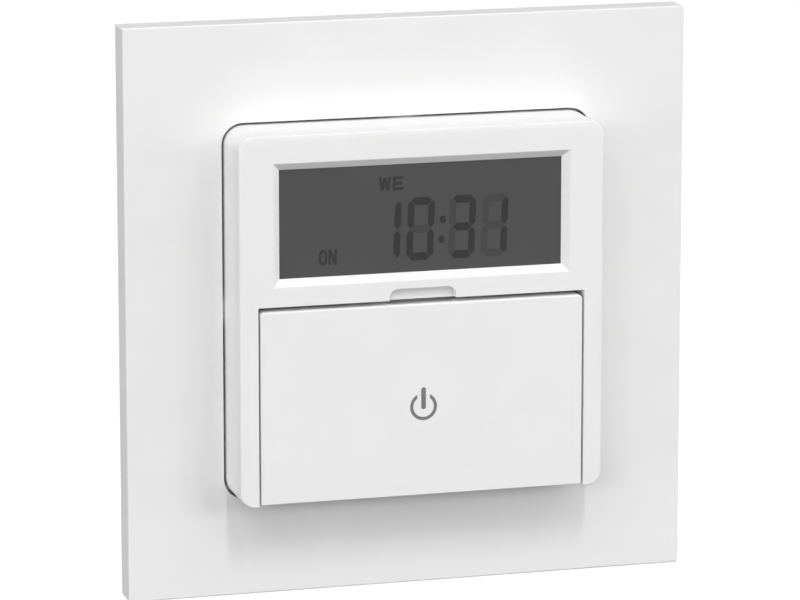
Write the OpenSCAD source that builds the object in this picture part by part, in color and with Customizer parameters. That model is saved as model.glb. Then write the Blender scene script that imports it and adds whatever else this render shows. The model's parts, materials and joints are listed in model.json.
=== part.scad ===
// Flush-mounted timer light switch: cover frame, control module with display and flap, rear switching unit.
// Millimetres. The wall is the plane y = 0, the front faces -Y, +X is right and +Z is up.

/* [Cover frame] */
// Width and height of the square frame
frame_w = 85; // [80:1:95]
// How far the frame stands off the wall
frame_t = 4.62; // [4.4:0.1:6]
// Thickness of the frame's front face
frame_face_t = 1.9; // [1.5:0.1:2.1]
// Thickness of the frame's outer wall
frame_wall = 2; // [1.5:0.1:2.6]
// Small bevel along the frame's front edges
frame_edge = 0.3; // [0.1:0.05:0.6]
// Thickness of the rim round the window
window_rim = 1.4; // [1:0.1:2]
// How far the lugs behind the module reach under its skirt
lug_reach = 1.6; // [1:0.1:2]
// Thickness of those lugs
lug_t = 0.9; // [0.7:0.1:1.1]

/* [Control module] */
// Width and height of the module where it leaves the frame
module_w = 55.2; // [54.6:0.1:56.4]
// How far the module stands proud of the frame
module_proud = 8.13; // [7.9:0.1:10]
// How much each side leans in towards the front
module_draft = 0.25; // [0.1:0.05:0.5]
// Corner radius at the foot of the module
module_corner = 3.2; // [2.4:0.1:4]
// Corner radius of the front face
face_corner = 2.6; // [2:0.1:3.2]
// Rounding of the front edge
module_edge = 0.5; // [0.3:0.05:0.8]
// Shadow gap between the module and the frame
module_gap = 0.35; // [0.2:0.05:0.6]
// Wall thickness of the module's shell
module_wall = 1.5; // [1.3:0.1:1.8]
// Thickness of the module's back cover
back_t = 1.1; // [0.9:0.1:1.2]

/* [Display] */
// Width of the visible screen
screen_w = 42.6; // [38:0.1:43.4]
// Height of the visible screen
screen_h = 16; // [13:0.1:17]
// Distance of the screen below the module's top
screen_drop = 5.45; // [5:0.05:6]
// Depth of the screen behind the front face
screen_recess = 1; // [0.6:0.05:1.2]
// Width of the sloping surround
screen_bevel = 1.05; // [0.6:0.05:1.4]
// Thickness of each glass of the display
glass_t = 0.8; // [0.6:0.1:1]
// How far the glass reaches past the screen
glass_margin = 1.5; // [1.2:0.1:1.6]
// Contact ledge along the top of the front glass
glass_ledge = 1.6; // [1.3:0.1:1.8]
// Thickness of the polarising film and of the reflector
film_t = 0.2; // [0.1:0.05:0.3]

/* [Flap] */
// Width of the stile at each side of the flap's pocket
stile_w = 2.68; // [2.4:0.02:4]
// Height of the bridge between the display's seat and the flap's pocket
bridge_h = 2.12; // [2:0.02:3]
// Distance of the flap's lower edge above the module's foot
flap_foot = 0.66; // [0.4:0.05:0.9]
// Thickness of the flap
flap_t = 1.6; // [1.4:0.1:1.8]
// Gap at each side of the flap
flap_gap = 0.27; // [0.2:0.01:0.4]
// Gap above the flap
flap_gap_top = 0.38; // [0.3:0.01:0.5]
// Rounding of the flap's front edges
flap_edge = 0.4; // [0.2:0.05:0.5]
// Radius of the hinge pin
pin_r = 0.6; // [0.5:0.05:0.7]
// Radius of the flap's hinge barrel
barrel_r = 1.3; // [1.1:0.05:1.35]
// How far the hinge pin reaches into each stile
pin_reach = 1.3; // [1:0.1:1.4]
// How far the closed flap can be pressed
press_travel = 0.7; // [0.5:0.05:0.8]
// Half width of the finger scoop above the flap
scoop_half = 5.05; // [4:0.05:8]
// Height of the finger scoop
scoop_h = 1.65; // [1.2:0.05:1.9]
// Depth of the finger scoop
scoop_depth = 0.95; // [0.6:0.05:1.1]
// Corner radius of the finger scoop
scoop_corner = 1.35; // [0.8:0.05:1.5]

/* [Keys] */
// Width of a setting key
key_w = 8.6; // [6:0.1:9.6]
// Height of a setting key
key_h = 4.6; // [4:0.1:5.2]
// Distance of the outer setting keys from the sides of the pocket
key_side = 3.27; // [2.6:0.01:3.6]
// Distance of the row of setting keys below the pocket's top
key_drop = 7.73; // [6:0.01:8.4]
// Travel of a setting key
key_travel = 0.55; // [0.4:0.05:0.6]
// Radius of the plunger behind the flap
plunger_r = 2.4; // [2:0.1:3]
// Distance of the plunger below the row of setting keys
plunger_drop = 8.3; // [7:0.1:9]
// Radius of the reset button
reset_r = 1.1; // [0.9:0.05:1.4]
// Distance of the reset button from the side of the pocket
reset_side = 7.67; // [6:0.01:10]
// How far the reset button lies below its panel
reset_sunk = 0.3; // [0.1:0.05:0.5]
// Thickness of the key panel
panel_t = 1.1; // [1:0.05:1.3]

/* [Support plate] */
// Steel left outside the box-screw slots
plate_margin = 2; // [1.5:0.1:4]
// Thickness of the steel plate
plate_t = 1.2; // [1:0.1:1.4]
// Distance between opposite box screws
screw_spacing = 60; // [60:0.1:60.6]
// Half width of a box-screw slot
slot_r = 1.75; // [1.6:0.05:2.1]
// Length of a box-screw slot
slot_len = 7; // [6:0.1:8]

/* [Rear case] */
// Width and height of the rear case
case_w = 44; // [44:0.1:46]
// Depth of the rear case behind the wall
case_depth = 26; // [25:0.5:32]
// Size of the case's corner bevels
case_bevel = 7; // [6:0.1:7.4]
// Wall thickness of the rear case
case_wall = 1.5; // [1.2:0.1:1.7]
// Thickness of the case cover
cover_t = 1.4; // [1.2:0.1:1.8]

/* [Terminals] */
// Radius of a wire hole
wire_r = 1.4; // [1.2:0.05:1.5]
// Distance between terminals
terminal_pitch = 7.2; // [7:0.05:7.4]
// Width of a wire clamp
clamp_w = 5.4; // [5:0.05:5.6]
// Travel of a wire clamp
clamp_travel = 1.6; // [1.2:0.1:1.8]
// Radius of a terminal screw's shank
terminal_screw_r = 1.45; // [1.2:0.05:1.5]
// Thickness of a terminal bar
bar_t = 0.8; // [0.6:0.05:1]

/* [Hidden] */
$fn = 64;

// Colours
white = [0.93, 0.93, 0.92];
dark_grey = [0.22, 0.23, 0.24];
light_grey = [0.78, 0.79, 0.8];
panel_grey = [0.64, 0.65, 0.66];
screen_grey = [0.31, 0.31, 0.31];
clear_glass = [0.75, 0.82, 0.8, 0.5];
board_green = [0.1, 0.36, 0.2];
steel = [0.72, 0.73, 0.74];
brass_yellow = [0.78, 0.65, 0.32];
copper_red = [0.72, 0.42, 0.24];
black = [0.08, 0.08, 0.09];
silicone = [0.62, 0.63, 0.65];
relay_blue = [0.16, 0.28, 0.46];

// General clearances: over_cut lets a cut pass a face, seat_gap parts fixed pieces, run_gap moving ones
over_cut = 1;
seat_gap = 0.15;
run_gap = 0.3;
pin_fit = 0.05;
touch_gap = 0.05;

// Support plate, just clear of the wall on which the frame's rim rests
wall_clear = 0.1;
plate_back_y = -wall_clear;
plate_front_y = plate_back_y - plate_t;
plate_w = screw_spacing + slot_len + 2 * plate_margin;

// Front to back, in the module
front_y = -(frame_t + module_proud);
frame_front_y = -frame_t;
flap_back_y = front_y + flap_t;
key_clear = 0.35;
key_left_proud = 0.1;
key_top_y = flap_back_y + press_travel + key_clear;
panel_front_y = key_top_y + key_travel + key_left_proud;
panel_back_y = panel_front_y + panel_t;
key_fit = 0.18;
key_rim = 0.4;
key_flange_t = 0.6;
key_flange_y = panel_back_y + 2 * touch_gap;
dome_top_y = key_flange_y + key_flange_t + touch_gap;
dome_h = 1.1;
mat_t = 0.7;
mat_front_y = dome_top_y + dome_h;
board_front_y = mat_front_y + mat_t;
board_t = 1.2;
board_back_y = board_front_y + board_t;
lug_front_y = plate_front_y - touch_gap - lug_t;
skirt_end_y = lug_front_y;
back_front_y = skirt_end_y - back_t;

// Across the module
window_w = module_w + 2 * module_gap;
window_corner = module_corner + module_gap;
face_w = module_w - 2 * module_draft;
module_inner = module_w - 2 * module_wall;
screen_top = module_w / 2 - screen_drop;
screen_z = screen_top - screen_h / 2;
screen_bottom = screen_top - screen_h;
glass_half = screen_w / 2 + glass_margin;
glass_bottom = screen_bottom - glass_margin;
rear_glass_top = screen_top + glass_margin;
front_glass_top = rear_glass_top + glass_ledge;
bridge_top = glass_bottom - 2 * seat_gap;
bridge_mid = bridge_top - bridge_h / 2;
pocket_w = face_w - 2 * stile_w;
pocket_top = bridge_top - bridge_h;
flap_w = pocket_w - 2 * flap_gap;
flap_top = pocket_top - flap_gap_top;
flap_bottom = -(module_w / 2 - flap_foot);

// Depths of the display
screen_y = front_y + screen_recess;
front_glass_y = screen_y + film_t;
rear_glass_y = front_glass_y + glass_t;
reflector_y = rear_glass_y + glass_t;
holder_y = reflector_y + film_t;
holder_wall = 0.8;
film_margin = 0.8;
strip_roof = 0.6;
strip_top = front_glass_top - strip_roof;

// Hinge of the flap, and the plunger it pushes
key_row = pocket_top - key_drop;
plunger_z = key_row - plunger_drop;
reset_x = pocket_w / 2 - reset_side;
pin_back = 1.5;
pin_up = 1.39;
pin_y = front_y + pin_back;
pin_z = flap_bottom + pin_up;
pin_half = pocket_w / 2 + pin_reach;
press_boss_t = 0.6;
press_boss_inset = 0.4;
press_boss_r = plunger_r - press_boss_inset;
plunger_top_y = flap_back_y + press_boss_t + 2 * touch_gap;
flap_corner = 0.9;

// Key panel
panel_flange_t = 0.75;
panel_flange_reach = 1.2;
panel_bottom = pin_z + barrel_r + press_travel;
flange_bottom = -module_inner / 2 + seat_gap;
key_pitch = (pocket_w - 2 * key_side - key_w) / 3;
key_xs = [for (i = [0 : 3]) (i - 1.5) * key_pitch];
dome_r = 2;
reset_dome_r = 1.5;
key_hole_w = key_w + 2 * key_fit;
key_hole_h = key_h + 2 * key_fit;
flange_fillet = 0.8;

// Screws into the bridge, and pillars between panel, board and back cover
bridge_screw_inset = 0.95;
bridge_screw_x = glass_half - bridge_screw_inset;
bridge_screw_r = 0.7;
bridge_boss_r = 1.15;
bridge_screw_bite = 2.2;
small_head_r = 1.3;
small_head_t = 0.8;
pillar_inset = 6.1;
pillar_r = 1.2;
pillar_at = module_w / 2 - pillar_inset;

// Opening of the support plate, back cover's tub and snap hooks
case_half = case_w / 2;
post_inset_x = 8;
post_inset_z = 1.6;
post_x = case_half - post_inset_x;
post_z = case_half - post_inset_z;
plate_corner = 3;
plate_open_margin = 1;
plate_bridge = 1.5;
plate_open_x = case_half + plate_open_margin;
plate_open_z = post_z - plate_bridge;
plate_open_corner = 2;
tub_inset_x = 3;
tub_inset_z = 2;
tub_x = plate_open_x - tub_inset_x;
tub_z = plate_open_z - tub_inset_z;
tub_wall = 1;
tub_clear = 0.2;
tub_back_y = plate_back_y - tub_clear;
hook_t = 0.7;
hook_w = 5;
hook_lip = 0.8;
hook_z = 9;
snap_w = 7;
snap_z = 13;
snap_reach = 0.8;
snap_t = 0.6;

// Control board and what it carries
board_clear = 0.7;
board_half = module_inner / 2 - board_clear;
header_z = 13;
header_pins_n = 5;
header_pitch = 2.54;
header_pin_r = 0.32;
header_ends = 1.2;
header_w = header_pins_n * header_pitch + header_ends;
header_h = 2 * header_pitch;
header_base_t = 2.5;
chip_w = 10;
chip_t = 1.4;
chip_at = [-10.5, -8];
crystal_r = 1.1;
crystal_len = 6;
crystal_at = [1, -11];
cell_r = 8;
cell_t = 1.6;
cell_lift = 0.3;
cell_gap = 0.46;
cell_side = 1.5;
cell_at = [
  tub_x - tub_wall - cell_side - cell_r, header_z - header_h / 2 - cell_gap - cell_r
];
clip_w = 4;
clip_t = 0.3;

// Rear case
case_inner_half = case_half - case_wall;
case_inner_bevel = case_bevel - case_wall * (2 - sqrt(2));
case_rear_y = case_depth;
case_floor_y = case_rear_y - case_wall;
post_r = 2.2;
post_end_y = 11;
case_screw_r = 1;
case_screw_len = 10.3;
case_screw_end = plate_front_y + case_screw_len;
case_head_r = 1.8;
case_head_t = 0.75;
power_front_y = 4.5;
power_t = 1.6;
power_back_y = power_front_y + power_t;
power_half = case_inner_half - 2 * seat_gap;
rib_t = 1.6;
rib_h = 6;
rib_z = 3;
stud_r = 1.6;
stud_inset = 3;
stud_x = case_inner_half - stud_inset;

// Terminals: heights follow from the bottom of the case
screw_sunk = 0.6;
screw_head_t = 1.4;
screw_head_r = 2.3;
screw_slot_w = 0.6;
screw_slot_depth = 0.6;
clamp_foot_t = 1.2;
clamp_side_t = 0.8;
clamp_roof_t = 1;
clamp_len = 6;
screw_room = 1.4;
screw_head_z = -case_half + screw_sunk;
clamp_z = screw_head_z + screw_head_t + run_gap / 2 + clamp_travel;
bar_z = clamp_z + clamp_foot_t + screw_room;
wire_z = bar_z + bar_t + wire_r;
clamp_roof_z = bar_z + bar_t + 2 * wire_r;
clamp_top_z = clamp_roof_z + clamp_roof_t;
wire_lead_in = 2.4;
clamp_rear_y = case_floor_y - wire_lead_in;
clamp_front_y = clamp_rear_y - clamp_len;
clamp_mid_y = (clamp_rear_y + clamp_front_y) / 2;
bar_w = clamp_w - 2 * clamp_side_t - run_gap;
bar_tail_w = bar_w / 2;
bar_tail_out = 0.6;
block_wall_t = 1.2;
block_front_y = clamp_front_y - run_gap - block_wall_t;
block_roof_t = 1.1;
block_roof_z = clamp_top_z + run_gap;
block_foot_z = -case_inner_half;
wall_between = terminal_pitch - clamp_w - run_gap * 5 / 3;
terminal_xs = [for (i = [0 : 3]) (i - 1.5) * terminal_pitch];

// Relay and film capacitor, side by side at the top of the power board
relay_len = 20;
relay_w = 10;
relay_h = 15.4;
film_cap_w = 12;
film_cap_h = 7;
film_cap_t = 12;
row_gap = 1;
row_drop = 4.4;
row_w = relay_len + row_gap + film_cap_w;
row_top = case_inner_half - row_drop;
relay_at = [-row_w / 2, power_back_y, row_top - relay_w / 2];
film_cap_at = [row_w / 2 - film_cap_w / 2, row_top - film_cap_h / 2];

// Inside the relay, measured from its lower left edge on the power board
relay_base_t = 2;
relay_wall = 0.8;
relay_room = 1;
yoke_t = 1.2;
yoke_inset = 0.8;
yoke_w = relay_w - 2 * (relay_wall + yoke_inset);
yoke_y = relay_h - relay_wall - yoke_t - relay_room;
yoke_leg_x = relay_len - relay_wall - yoke_t - relay_room;
flange_inset = 0.2;
flange_size = relay_w - 2 * (relay_wall + flange_inset);
spool_t = 0.8;
spool_wall = 0.6;
spool_seat = 0.2;
core_r = 1.5;
core_fit = 0.05;
spool_r = core_r + spool_wall;
coil_inset = 0.3;
coil_r = flange_size / 2 - coil_inset;
coil_y = yoke_y - relay_room - flange_size / 2;
coil_front_x = 8.4;
coil_back_x = yoke_leg_x - spool_t - spool_seat;
pole_x = 4.9;
pole_r = 2.4;
pole_t = 0.8;
armature_t = 0.8;
armature_inset = 0.2;
armature_w = yoke_w - 2 * armature_inset;
armature_lift = 0.6;
armature_foot = relay_base_t + armature_lift;
armature_gap = 0.5;
heel_r = 0.5;
pivot = [pole_x - armature_gap, yoke_y + heel_r];
contact_r = 0.9;
contact_t = 0.6;
contact_lift = 1.6;
contact_y = relay_base_t + contact_lift;
contact_gap = 0.57;
post_t = 0.6;

// Row of round parts below them
can_r = 5;
can_h = 14;
can_groove = 0.4;
can_side = 0.5;
fuse_r = 4.2;
fuse_h = 8;
fuse_side = 0.8;
disc_r = 4.4;
disc_t = 4;
disc_lift = 0.6;
lead_r = 0.4;
lead_pitch = 5;
round_gap = 0.6;
round_z = row_top - relay_w - round_gap - can_r;
can_x = -row_w / 2 + can_side + can_r;
fuse_x = row_w / 2 - fuse_side - fuse_r;
disc_x = (can_x + can_r + fuse_x - fuse_r) / 2;

// Building shapes

// Box between two corners
module block(low, high) {
  translate(low) cube(high - low);
}

// Rods along each axis
module rod_x(y, z, r, x0, x1) {
  translate([x0, y, z]) rotate([0, 90, 0]) cylinder(r = r, h = x1 - x0);
}

module rod_y(x, z, r, y0, y1) {
  translate([x, y0, z]) rotate([-90, 0, 0]) cylinder(r = r, h = y1 - y0);
}

module rod_z(x, y, r, z0, z1) {
  translate([x, y, z0]) cylinder(r = r, h = z1 - z0);
}

// Rounded rectangle about the origin
module rounded_rect(w, h, r) {
  square([w - 2 * r, h], center = true);
  square([w, h - 2 * r], center = true);
  for (sx = [-1, 1], sz = [-1, 1])
    translate([sx * (w / 2 - r), sz * (h / 2 - r)]) circle(r = r);
}

// Rounded plate that faces the front, from y0 back to y1
module slab(w, h, r, y0, y1) {
  translate([0, y1, 0]) rotate([90, 0, 0]) linear_extrude(y1 - y0) rounded_rect(w, h, r);
}

// Square prism with bevelled corners, as the rear case is
module case_prism(half, bevel, y0, y1) {
  side = half - bevel;
  translate([0, y1, 0]) rotate([90, 0, 0]) linear_extrude(y1 - y0)
    polygon([
      [side, -half], [half, -side], [half, side], [side, half],
      [-side, half], [-half, side], [-half, -side], [-side, -half]
    ]);
}

// Rectangle that changes from size_a at y0 to size_b at y1, about the height z
module tapered_block(size_a, size_b, z, y0, y1) {
  reach = max(size_a[0], size_a[1], size_b[0], size_b[1]) + over_cut;
  translate([0, 0, z]) intersection() {
    translate([0, 0, -reach]) linear_extrude(2 * reach) trapezium(size_a[0], size_b[0], y0, y1);
    rotate([0, 90, 0]) translate([0, 0, -reach]) linear_extrude(2 * reach)
      trapezium(size_a[1], size_b[1], y0, y1);
  }
}

module trapezium(width_a, width_b, y0, y1) {
  polygon([[-width_a / 2, y0], [width_a / 2, y0], [width_b / 2, y1], [-width_b / 2, y1]]);
}

// Cover frame

// Lug behind the module's skirt, at the right of the window
module frame_lug(z) {
  lug_len = 8;
  block(
    [module_w / 2 - lug_reach, lug_front_y, z - lug_len / 2],
    [window_w / 2 + window_rim / 2, lug_front_y + lug_t, z + lug_len / 2]
  );
}

// What is cut off the front edge at the right of the frame to bevel it
module frame_edge_cut() {
  half = frame_w / 2;
  front = frame_front_y - over_cut;
  translate([0, 0, -half - over_cut]) linear_extrude(frame_w + 2 * over_cut)
    polygon([
      [half - frame_edge - over_cut, front], [half + over_cut, front],
      [half + over_cut, frame_front_y + frame_edge + over_cut]
    ]);
}

module cover_frame() {
  hollow_y = frame_front_y + frame_face_t;
  rim_w = window_w + 2 * window_rim;
  rim_corner = window_corner + window_rim;
  lug_offset = module_w / 3;
  color(white) union() {
    difference() {
      block([-frame_w / 2, frame_front_y, -frame_w / 2], [frame_w / 2, 0, frame_w / 2]);
      for (turn = [0 : 90 : 270]) rotate([0, turn, 0]) frame_edge_cut();
      slab(window_w, window_w, window_corner, frame_front_y - over_cut, over_cut);
      difference() {
        block(
          [-frame_w / 2 + frame_wall, hollow_y, -frame_w / 2 + frame_wall],
          [frame_w / 2 - frame_wall, over_cut, frame_w / 2 - frame_wall]
        );
        slab(rim_w, rim_w, rim_corner, hollow_y - over_cut, lug_front_y + lug_t);
      }
    }
    for (turn = [0 : 90 : 270], z = [-lug_offset, lug_offset])
      rotate([0, turn, 0]) frame_lug(z);
  }
}

// Support plate of the wall box
module support_plate() {
  color(steel) difference() {
    slab(plate_w, plate_w, plate_corner, plate_front_y, plate_back_y);
    slab(
      2 * plate_open_x, 2 * plate_open_z, plate_open_corner, plate_front_y - over_cut, over_cut
    );
    for (turn = [0 : 90 : 270]) rotate([0, turn, 0]) box_slot();
    for (sx = [-1, 1], sz = [-1, 1])
      rod_y(sx * post_x, sz * post_z, case_screw_r + seat_gap, plate_front_y - over_cut, over_cut);
  }
}

// Slot for a box screw, at the right of the plate
module box_slot() {
  half = slot_len / 2 - slot_r;
  x = screw_spacing / 2;
  for (end = [x - half, x + half])
    rod_y(end, 0, slot_r, plate_front_y - over_cut, over_cut);
  block([x - half, plate_front_y - over_cut, -slot_r], [x + half, over_cut, slot_r]);
}

// Control module

// Outer form of the module, with its lean and its rounded front edge
module housing_blank() {
  slice_t = 0.01;
  hull() {
    slab(module_w, module_w, module_corner, frame_front_y, skirt_end_y, $fn = 32);
    for (a = [0 : 18 : 90]) {
      inset = module_edge * (1 - cos(a));
      y = front_y + module_edge * (1 - sin(a));
      w = face_w - 2 * inset;
      slab(w, w, face_corner - inset, y, y + slice_t, $fn = 32);
    }
  }
}

// Hollow scoop that lets a fingertip reach the flap's top edge
module finger_scoop() {
  round_r = (scoop_h * scoop_h + scoop_depth * scoop_depth) / (2 * scoop_depth);
  axis_y = front_y + scoop_depth - round_r;
  intersection() {
    rod_x(axis_y, pocket_top, round_r, -scoop_half - over_cut, scoop_half + over_cut);
    translate([0, 0, pocket_top])
      slab(2 * scoop_half, 2 * scoop_h, scoop_corner, front_y - over_cut, front_y + 2 * scoop_depth);
  }
}

// Slot in a stile, in which the hinge pin turns and slides
module pin_slot() {
  slot = pin_r + pin_fit;
  half = pin_half + pin_fit;
  for (y = [pin_y, pin_y + press_travel])
    rod_x(y, pin_z, slot, -half, half);
  block([-half, pin_y, pin_z - slot], [half, pin_y + press_travel, pin_z + slot]);
}

module front_housing() {
  inner = module_inner / 2;
  surround = [screen_w + 2 * screen_bevel, screen_h + 2 * screen_bevel];
  lead = screen_bevel / screen_recess * over_cut;
  color(white) difference() {
    housing_blank();
    block([-inner, panel_back_y, -inner], [inner, over_cut, inner]);
    block([-inner, front_y + module_wall, bridge_top], [inner, panel_back_y + over_cut, inner]);
    block(
      [-pocket_w / 2, front_y - over_cut, -module_w], [pocket_w / 2, panel_back_y + touch_gap, pocket_top]
    );
    tapered_block(
      [surround[0] + 2 * lead, surround[1] + 2 * lead], [screen_w, screen_h], screen_z,
      front_y - over_cut, screen_y
    );
    block(
      [-glass_half - seat_gap, screen_y, glass_bottom - seat_gap],
      [glass_half + seat_gap, front_y + module_wall + over_cut, front_glass_top + seat_gap]
    );
    finger_scoop();
    pin_slot();
    for (sx = [-1, 1])
      rod_y(
        sx * bridge_screw_x, bridge_mid, bridge_screw_r + pin_fit,
        panel_back_y - bridge_screw_bite - touch_gap, panel_back_y + over_cut
      );
    for (sx = [-1, 1], sz = [-1, 1])
      translate([sx * inner, (skirt_end_y + back_front_y) / 2, sz * snap_z])
        cube([2 * (snap_reach + seat_gap), snap_t + 2 * seat_gap, snap_w + 2 * seat_gap], center = true);
  }
}

// Dark panel behind the flap, with its pillars
module key_panel() {
  plate_half = pocket_w / 2 - seat_gap;
  flange_half = pocket_w / 2 + panel_flange_reach;
  flange_top = bridge_top - 2 * seat_gap;
  flange_back_y = panel_back_y + panel_flange_t;
  color(panel_grey) difference() {
    union() {
      block([-plate_half, panel_front_y, panel_bottom], [plate_half, panel_back_y, pocket_top - seat_gap]);
      difference() {
        block([-flange_half, panel_back_y, flange_bottom], [flange_half, flange_back_y, flange_top]);
        block(
          [-plate_half + panel_t, panel_back_y, panel_bottom + panel_t],
          [plate_half - panel_t, flange_back_y + over_cut, pocket_top - seat_gap - panel_t]
        );
      }
      for (sx = [-1, 1]) {
        rod_y(sx * bridge_screw_x, bridge_mid, bridge_boss_r, panel_back_y, board_front_y);
        rod_y(sx * pillar_at, -pillar_at, pillar_r, panel_back_y, board_front_y);
      }
    }
    for (x = key_xs)
      translate([x, 0, key_row])
        slab(key_hole_w, key_hole_h, key_hole_h / 3, panel_front_y - over_cut, panel_back_y + over_cut);
    rod_y(0, plunger_z, plunger_r + key_fit, panel_front_y - over_cut, panel_back_y + over_cut);
    rod_y(reset_x, plunger_z, reset_r + key_fit, panel_front_y - over_cut, panel_back_y + over_cut);
    for (sx = [-1, 1])
      rod_y(
        sx * bridge_screw_x, bridge_mid, bridge_screw_r + pin_fit,
        panel_back_y - over_cut, board_front_y + over_cut
      );
  }
}

module hinge_pin() {
  color(steel) rod_x(pin_y, pin_z, pin_r, -pin_half, pin_half);
}

// Section of the flap, with y forward as depth and its hinge barrel at the foot
module flap_section() {
  height = flap_top - flap_bottom;
  difference() {
    union() {
      translate([flap_edge, 0]) square([flap_t - flap_edge, height]);
      translate([0, flap_edge]) square([flap_t, height - 2 * flap_edge]);
      for (z = [flap_edge, height - flap_edge]) translate([flap_edge, z]) circle(r = flap_edge);
      translate([pin_back, pin_up]) circle(r = barrel_r);
    }
    translate([pin_back, pin_up]) circle(r = pin_r + pin_fit);
  }
}

// What is cut off an upper corner of the flap to round it
module flap_corner_cut() {
  reach = flap_corner + over_cut;
  difference() {
    block([0, front_y - over_cut, 0], [reach, flap_back_y + over_cut, reach]);
    rod_y(0, 0, flap_corner, front_y - 2 * over_cut, flap_back_y + 2 * over_cut);
  }
}

module flap() {
  color(white) union() {
    difference() {
      translate([-flap_w / 2, front_y, flap_bottom])
        rotate([90, 0, 90]) linear_extrude(flap_w) flap_section();
      for (side = [0, 1])
        mirror([side, 0, 0])
          translate([flap_w / 2 - flap_corner, 0, flap_top - flap_corner]) flap_corner_cut();
    }
    rod_y(0, plunger_z, press_boss_r, flap_back_y - touch_gap, flap_back_y + press_boss_t);
  }
}

// One setting key: cap and the flange that holds it behind the panel
module setting_key(index) {
  color(light_grey) translate([key_xs[index], 0, key_row]) {
    slab(key_w, key_h, key_h / 3, key_top_y, key_flange_y);
    slab(
      key_w + 2 * key_rim, key_h + 2 * key_rim, flange_fillet, key_flange_y, key_flange_y + key_flange_t
    );
  }
}

// Round button with a flange behind the panel
module round_button(x, r, top_y) {
  rod_y(x, plunger_z, r, top_y, key_flange_y);
  rod_y(x, plunger_z, r + key_rim, key_flange_y, key_flange_y + key_flange_t);
}

module menu_key() {
  setting_key(0);
}

module minus_key() {
  setting_key(1);
}

module plus_key() {
  setting_key(2);
}

module ok_key() {
  setting_key(3);
}

module reset_key() {
  color(light_grey) round_button(reset_x, reset_r, panel_front_y + reset_sunk);
}

module on_off_plunger() {
  color(white) round_button(0, plunger_r, plunger_top_y);
}

// Silicone dome, narrower at its top
module dome(x, z, top_r) {
  dome_flare = 0.6;
  translate([x, mat_front_y, z]) rotate([90, 0, 0]) cylinder(r1 = top_r + dome_flare, r2 = top_r, h = dome_h);
}

module keypad_mat() {
  mat_half = pillar_at + pillar_r;
  mat_foot = -pillar_at + pillar_r + seat_gap;
  mat_top = bridge_mid - bridge_boss_r - seat_gap;
  color(silicone) union() {
    block([-mat_half, mat_front_y, mat_foot], [mat_half, board_front_y, mat_top]);
    for (x = key_xs) dome(x, key_row, dome_r);
    dome(0, plunger_z, dome_r);
    dome(reset_x, plunger_z, reset_dome_r);
  }
}

// Display

module lcd_polariser() {
  half = screen_w / 2 + film_margin;
  color(screen_grey)
    block([-half, screen_y, screen_bottom - film_margin], [half, front_glass_y, screen_top + film_margin]);
}

module lcd_front_glass() {
  color(clear_glass)
    block([-glass_half, front_glass_y, glass_bottom], [glass_half, rear_glass_y, front_glass_top]);
}

module lcd_rear_glass() {
  color(clear_glass)
    block([-glass_half, rear_glass_y, glass_bottom], [glass_half, reflector_y, rear_glass_top]);
}

module lcd_reflector() {
  half = screen_w / 2 + film_margin;
  color(light_grey)
    block([-half, reflector_y, screen_bottom - film_margin], [half, holder_y, screen_top + film_margin]);
}

// Conductive rubber strip from the glass ledge to the board
module contact_strip() {
  color(silicone)
    block(
      [-glass_half + glass_ledge, rear_glass_y, rear_glass_top + seat_gap],
      [glass_half - glass_ledge, board_front_y, strip_top]
    );
}

module lcd_holder() {
  half = glass_half + holder_wall / 2;
  color(white) difference() {
    block([-half, holder_y, glass_bottom], [half, board_front_y, front_glass_top]);
    block(
      [-half + holder_wall, holder_y + holder_wall, glass_bottom + holder_wall],
      [half - holder_wall, board_front_y + over_cut, rear_glass_top - holder_wall]
    );
    block(
      [-glass_half + glass_ledge - seat_gap, holder_y - over_cut, rear_glass_top],
      [glass_half - glass_ledge + seat_gap, board_front_y + over_cut, strip_top + seat_gap]
    );
  }
}

// Control board and what it carries

module control_board() {
  color(board_green) difference() {
    block([-board_half, board_front_y, -board_half], [board_half, board_back_y, board_half]);
    for (sx = [-1, 1])
      rod_y(
        sx * bridge_screw_x, bridge_mid, bridge_screw_r + seat_gap,
        board_front_y - over_cut, board_back_y + over_cut
      );
  }
}

module board_screws() {
  color(steel) for (sx = [-1, 1]) {
    rod_y(sx * bridge_screw_x, bridge_mid, bridge_screw_r, panel_back_y - bridge_screw_bite, board_back_y);
    rod_y(sx * bridge_screw_x, bridge_mid, small_head_r, board_back_y, board_back_y + small_head_t);
  }
}

module microcontroller() {
  color(black)
    translate([chip_at[0], board_back_y, chip_at[1]])
      block([-chip_w / 2, 0, -chip_w / 2], [chip_w / 2, chip_t, chip_w / 2]);
}

module crystal() {
  color(steel) translate([crystal_at[0], 0, crystal_at[1]]) {
    rod_x(board_back_y + crystal_r, 0, crystal_r, 0, crystal_len);
    block([0, board_back_y, -crystal_r / 2], [crystal_len, board_back_y + crystal_r, crystal_r / 2]);
  }
}

module backup_cell() {
  color(steel)
    rod_y(cell_at[0], cell_at[1], cell_r, board_back_y + cell_lift, board_back_y + cell_lift + cell_t);
}

// Spring strap over the cell, with a foot at each side
module cell_clip() {
  strap_y = board_back_y + cell_lift + cell_t;
  reach = cell_r + 2 * seat_gap;
  color(steel) translate([cell_at[0], 0, cell_at[1]]) {
    block([-reach - clip_t, strap_y, -clip_w / 2], [reach + clip_t, strap_y + clip_t, clip_w / 2]);
    for (side = [0, 1])
      mirror([side, 0, 0])
        block([reach, board_back_y, -clip_w / 2], [reach + clip_t, strap_y + clip_t, clip_w / 2]);
    block([-clip_w, board_back_y, -clip_w / 2], [clip_w, board_back_y + cell_lift, clip_w / 2]);
  }
}

// A copy of its children at each contact of the plug
module at_header_pins() {
  for (i = [0 : header_pins_n - 1], row = [-0.5, 0.5])
    translate([(i - (header_pins_n - 1) / 2) * header_pitch, 0, header_z + row * header_pitch])
      children();
}

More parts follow.
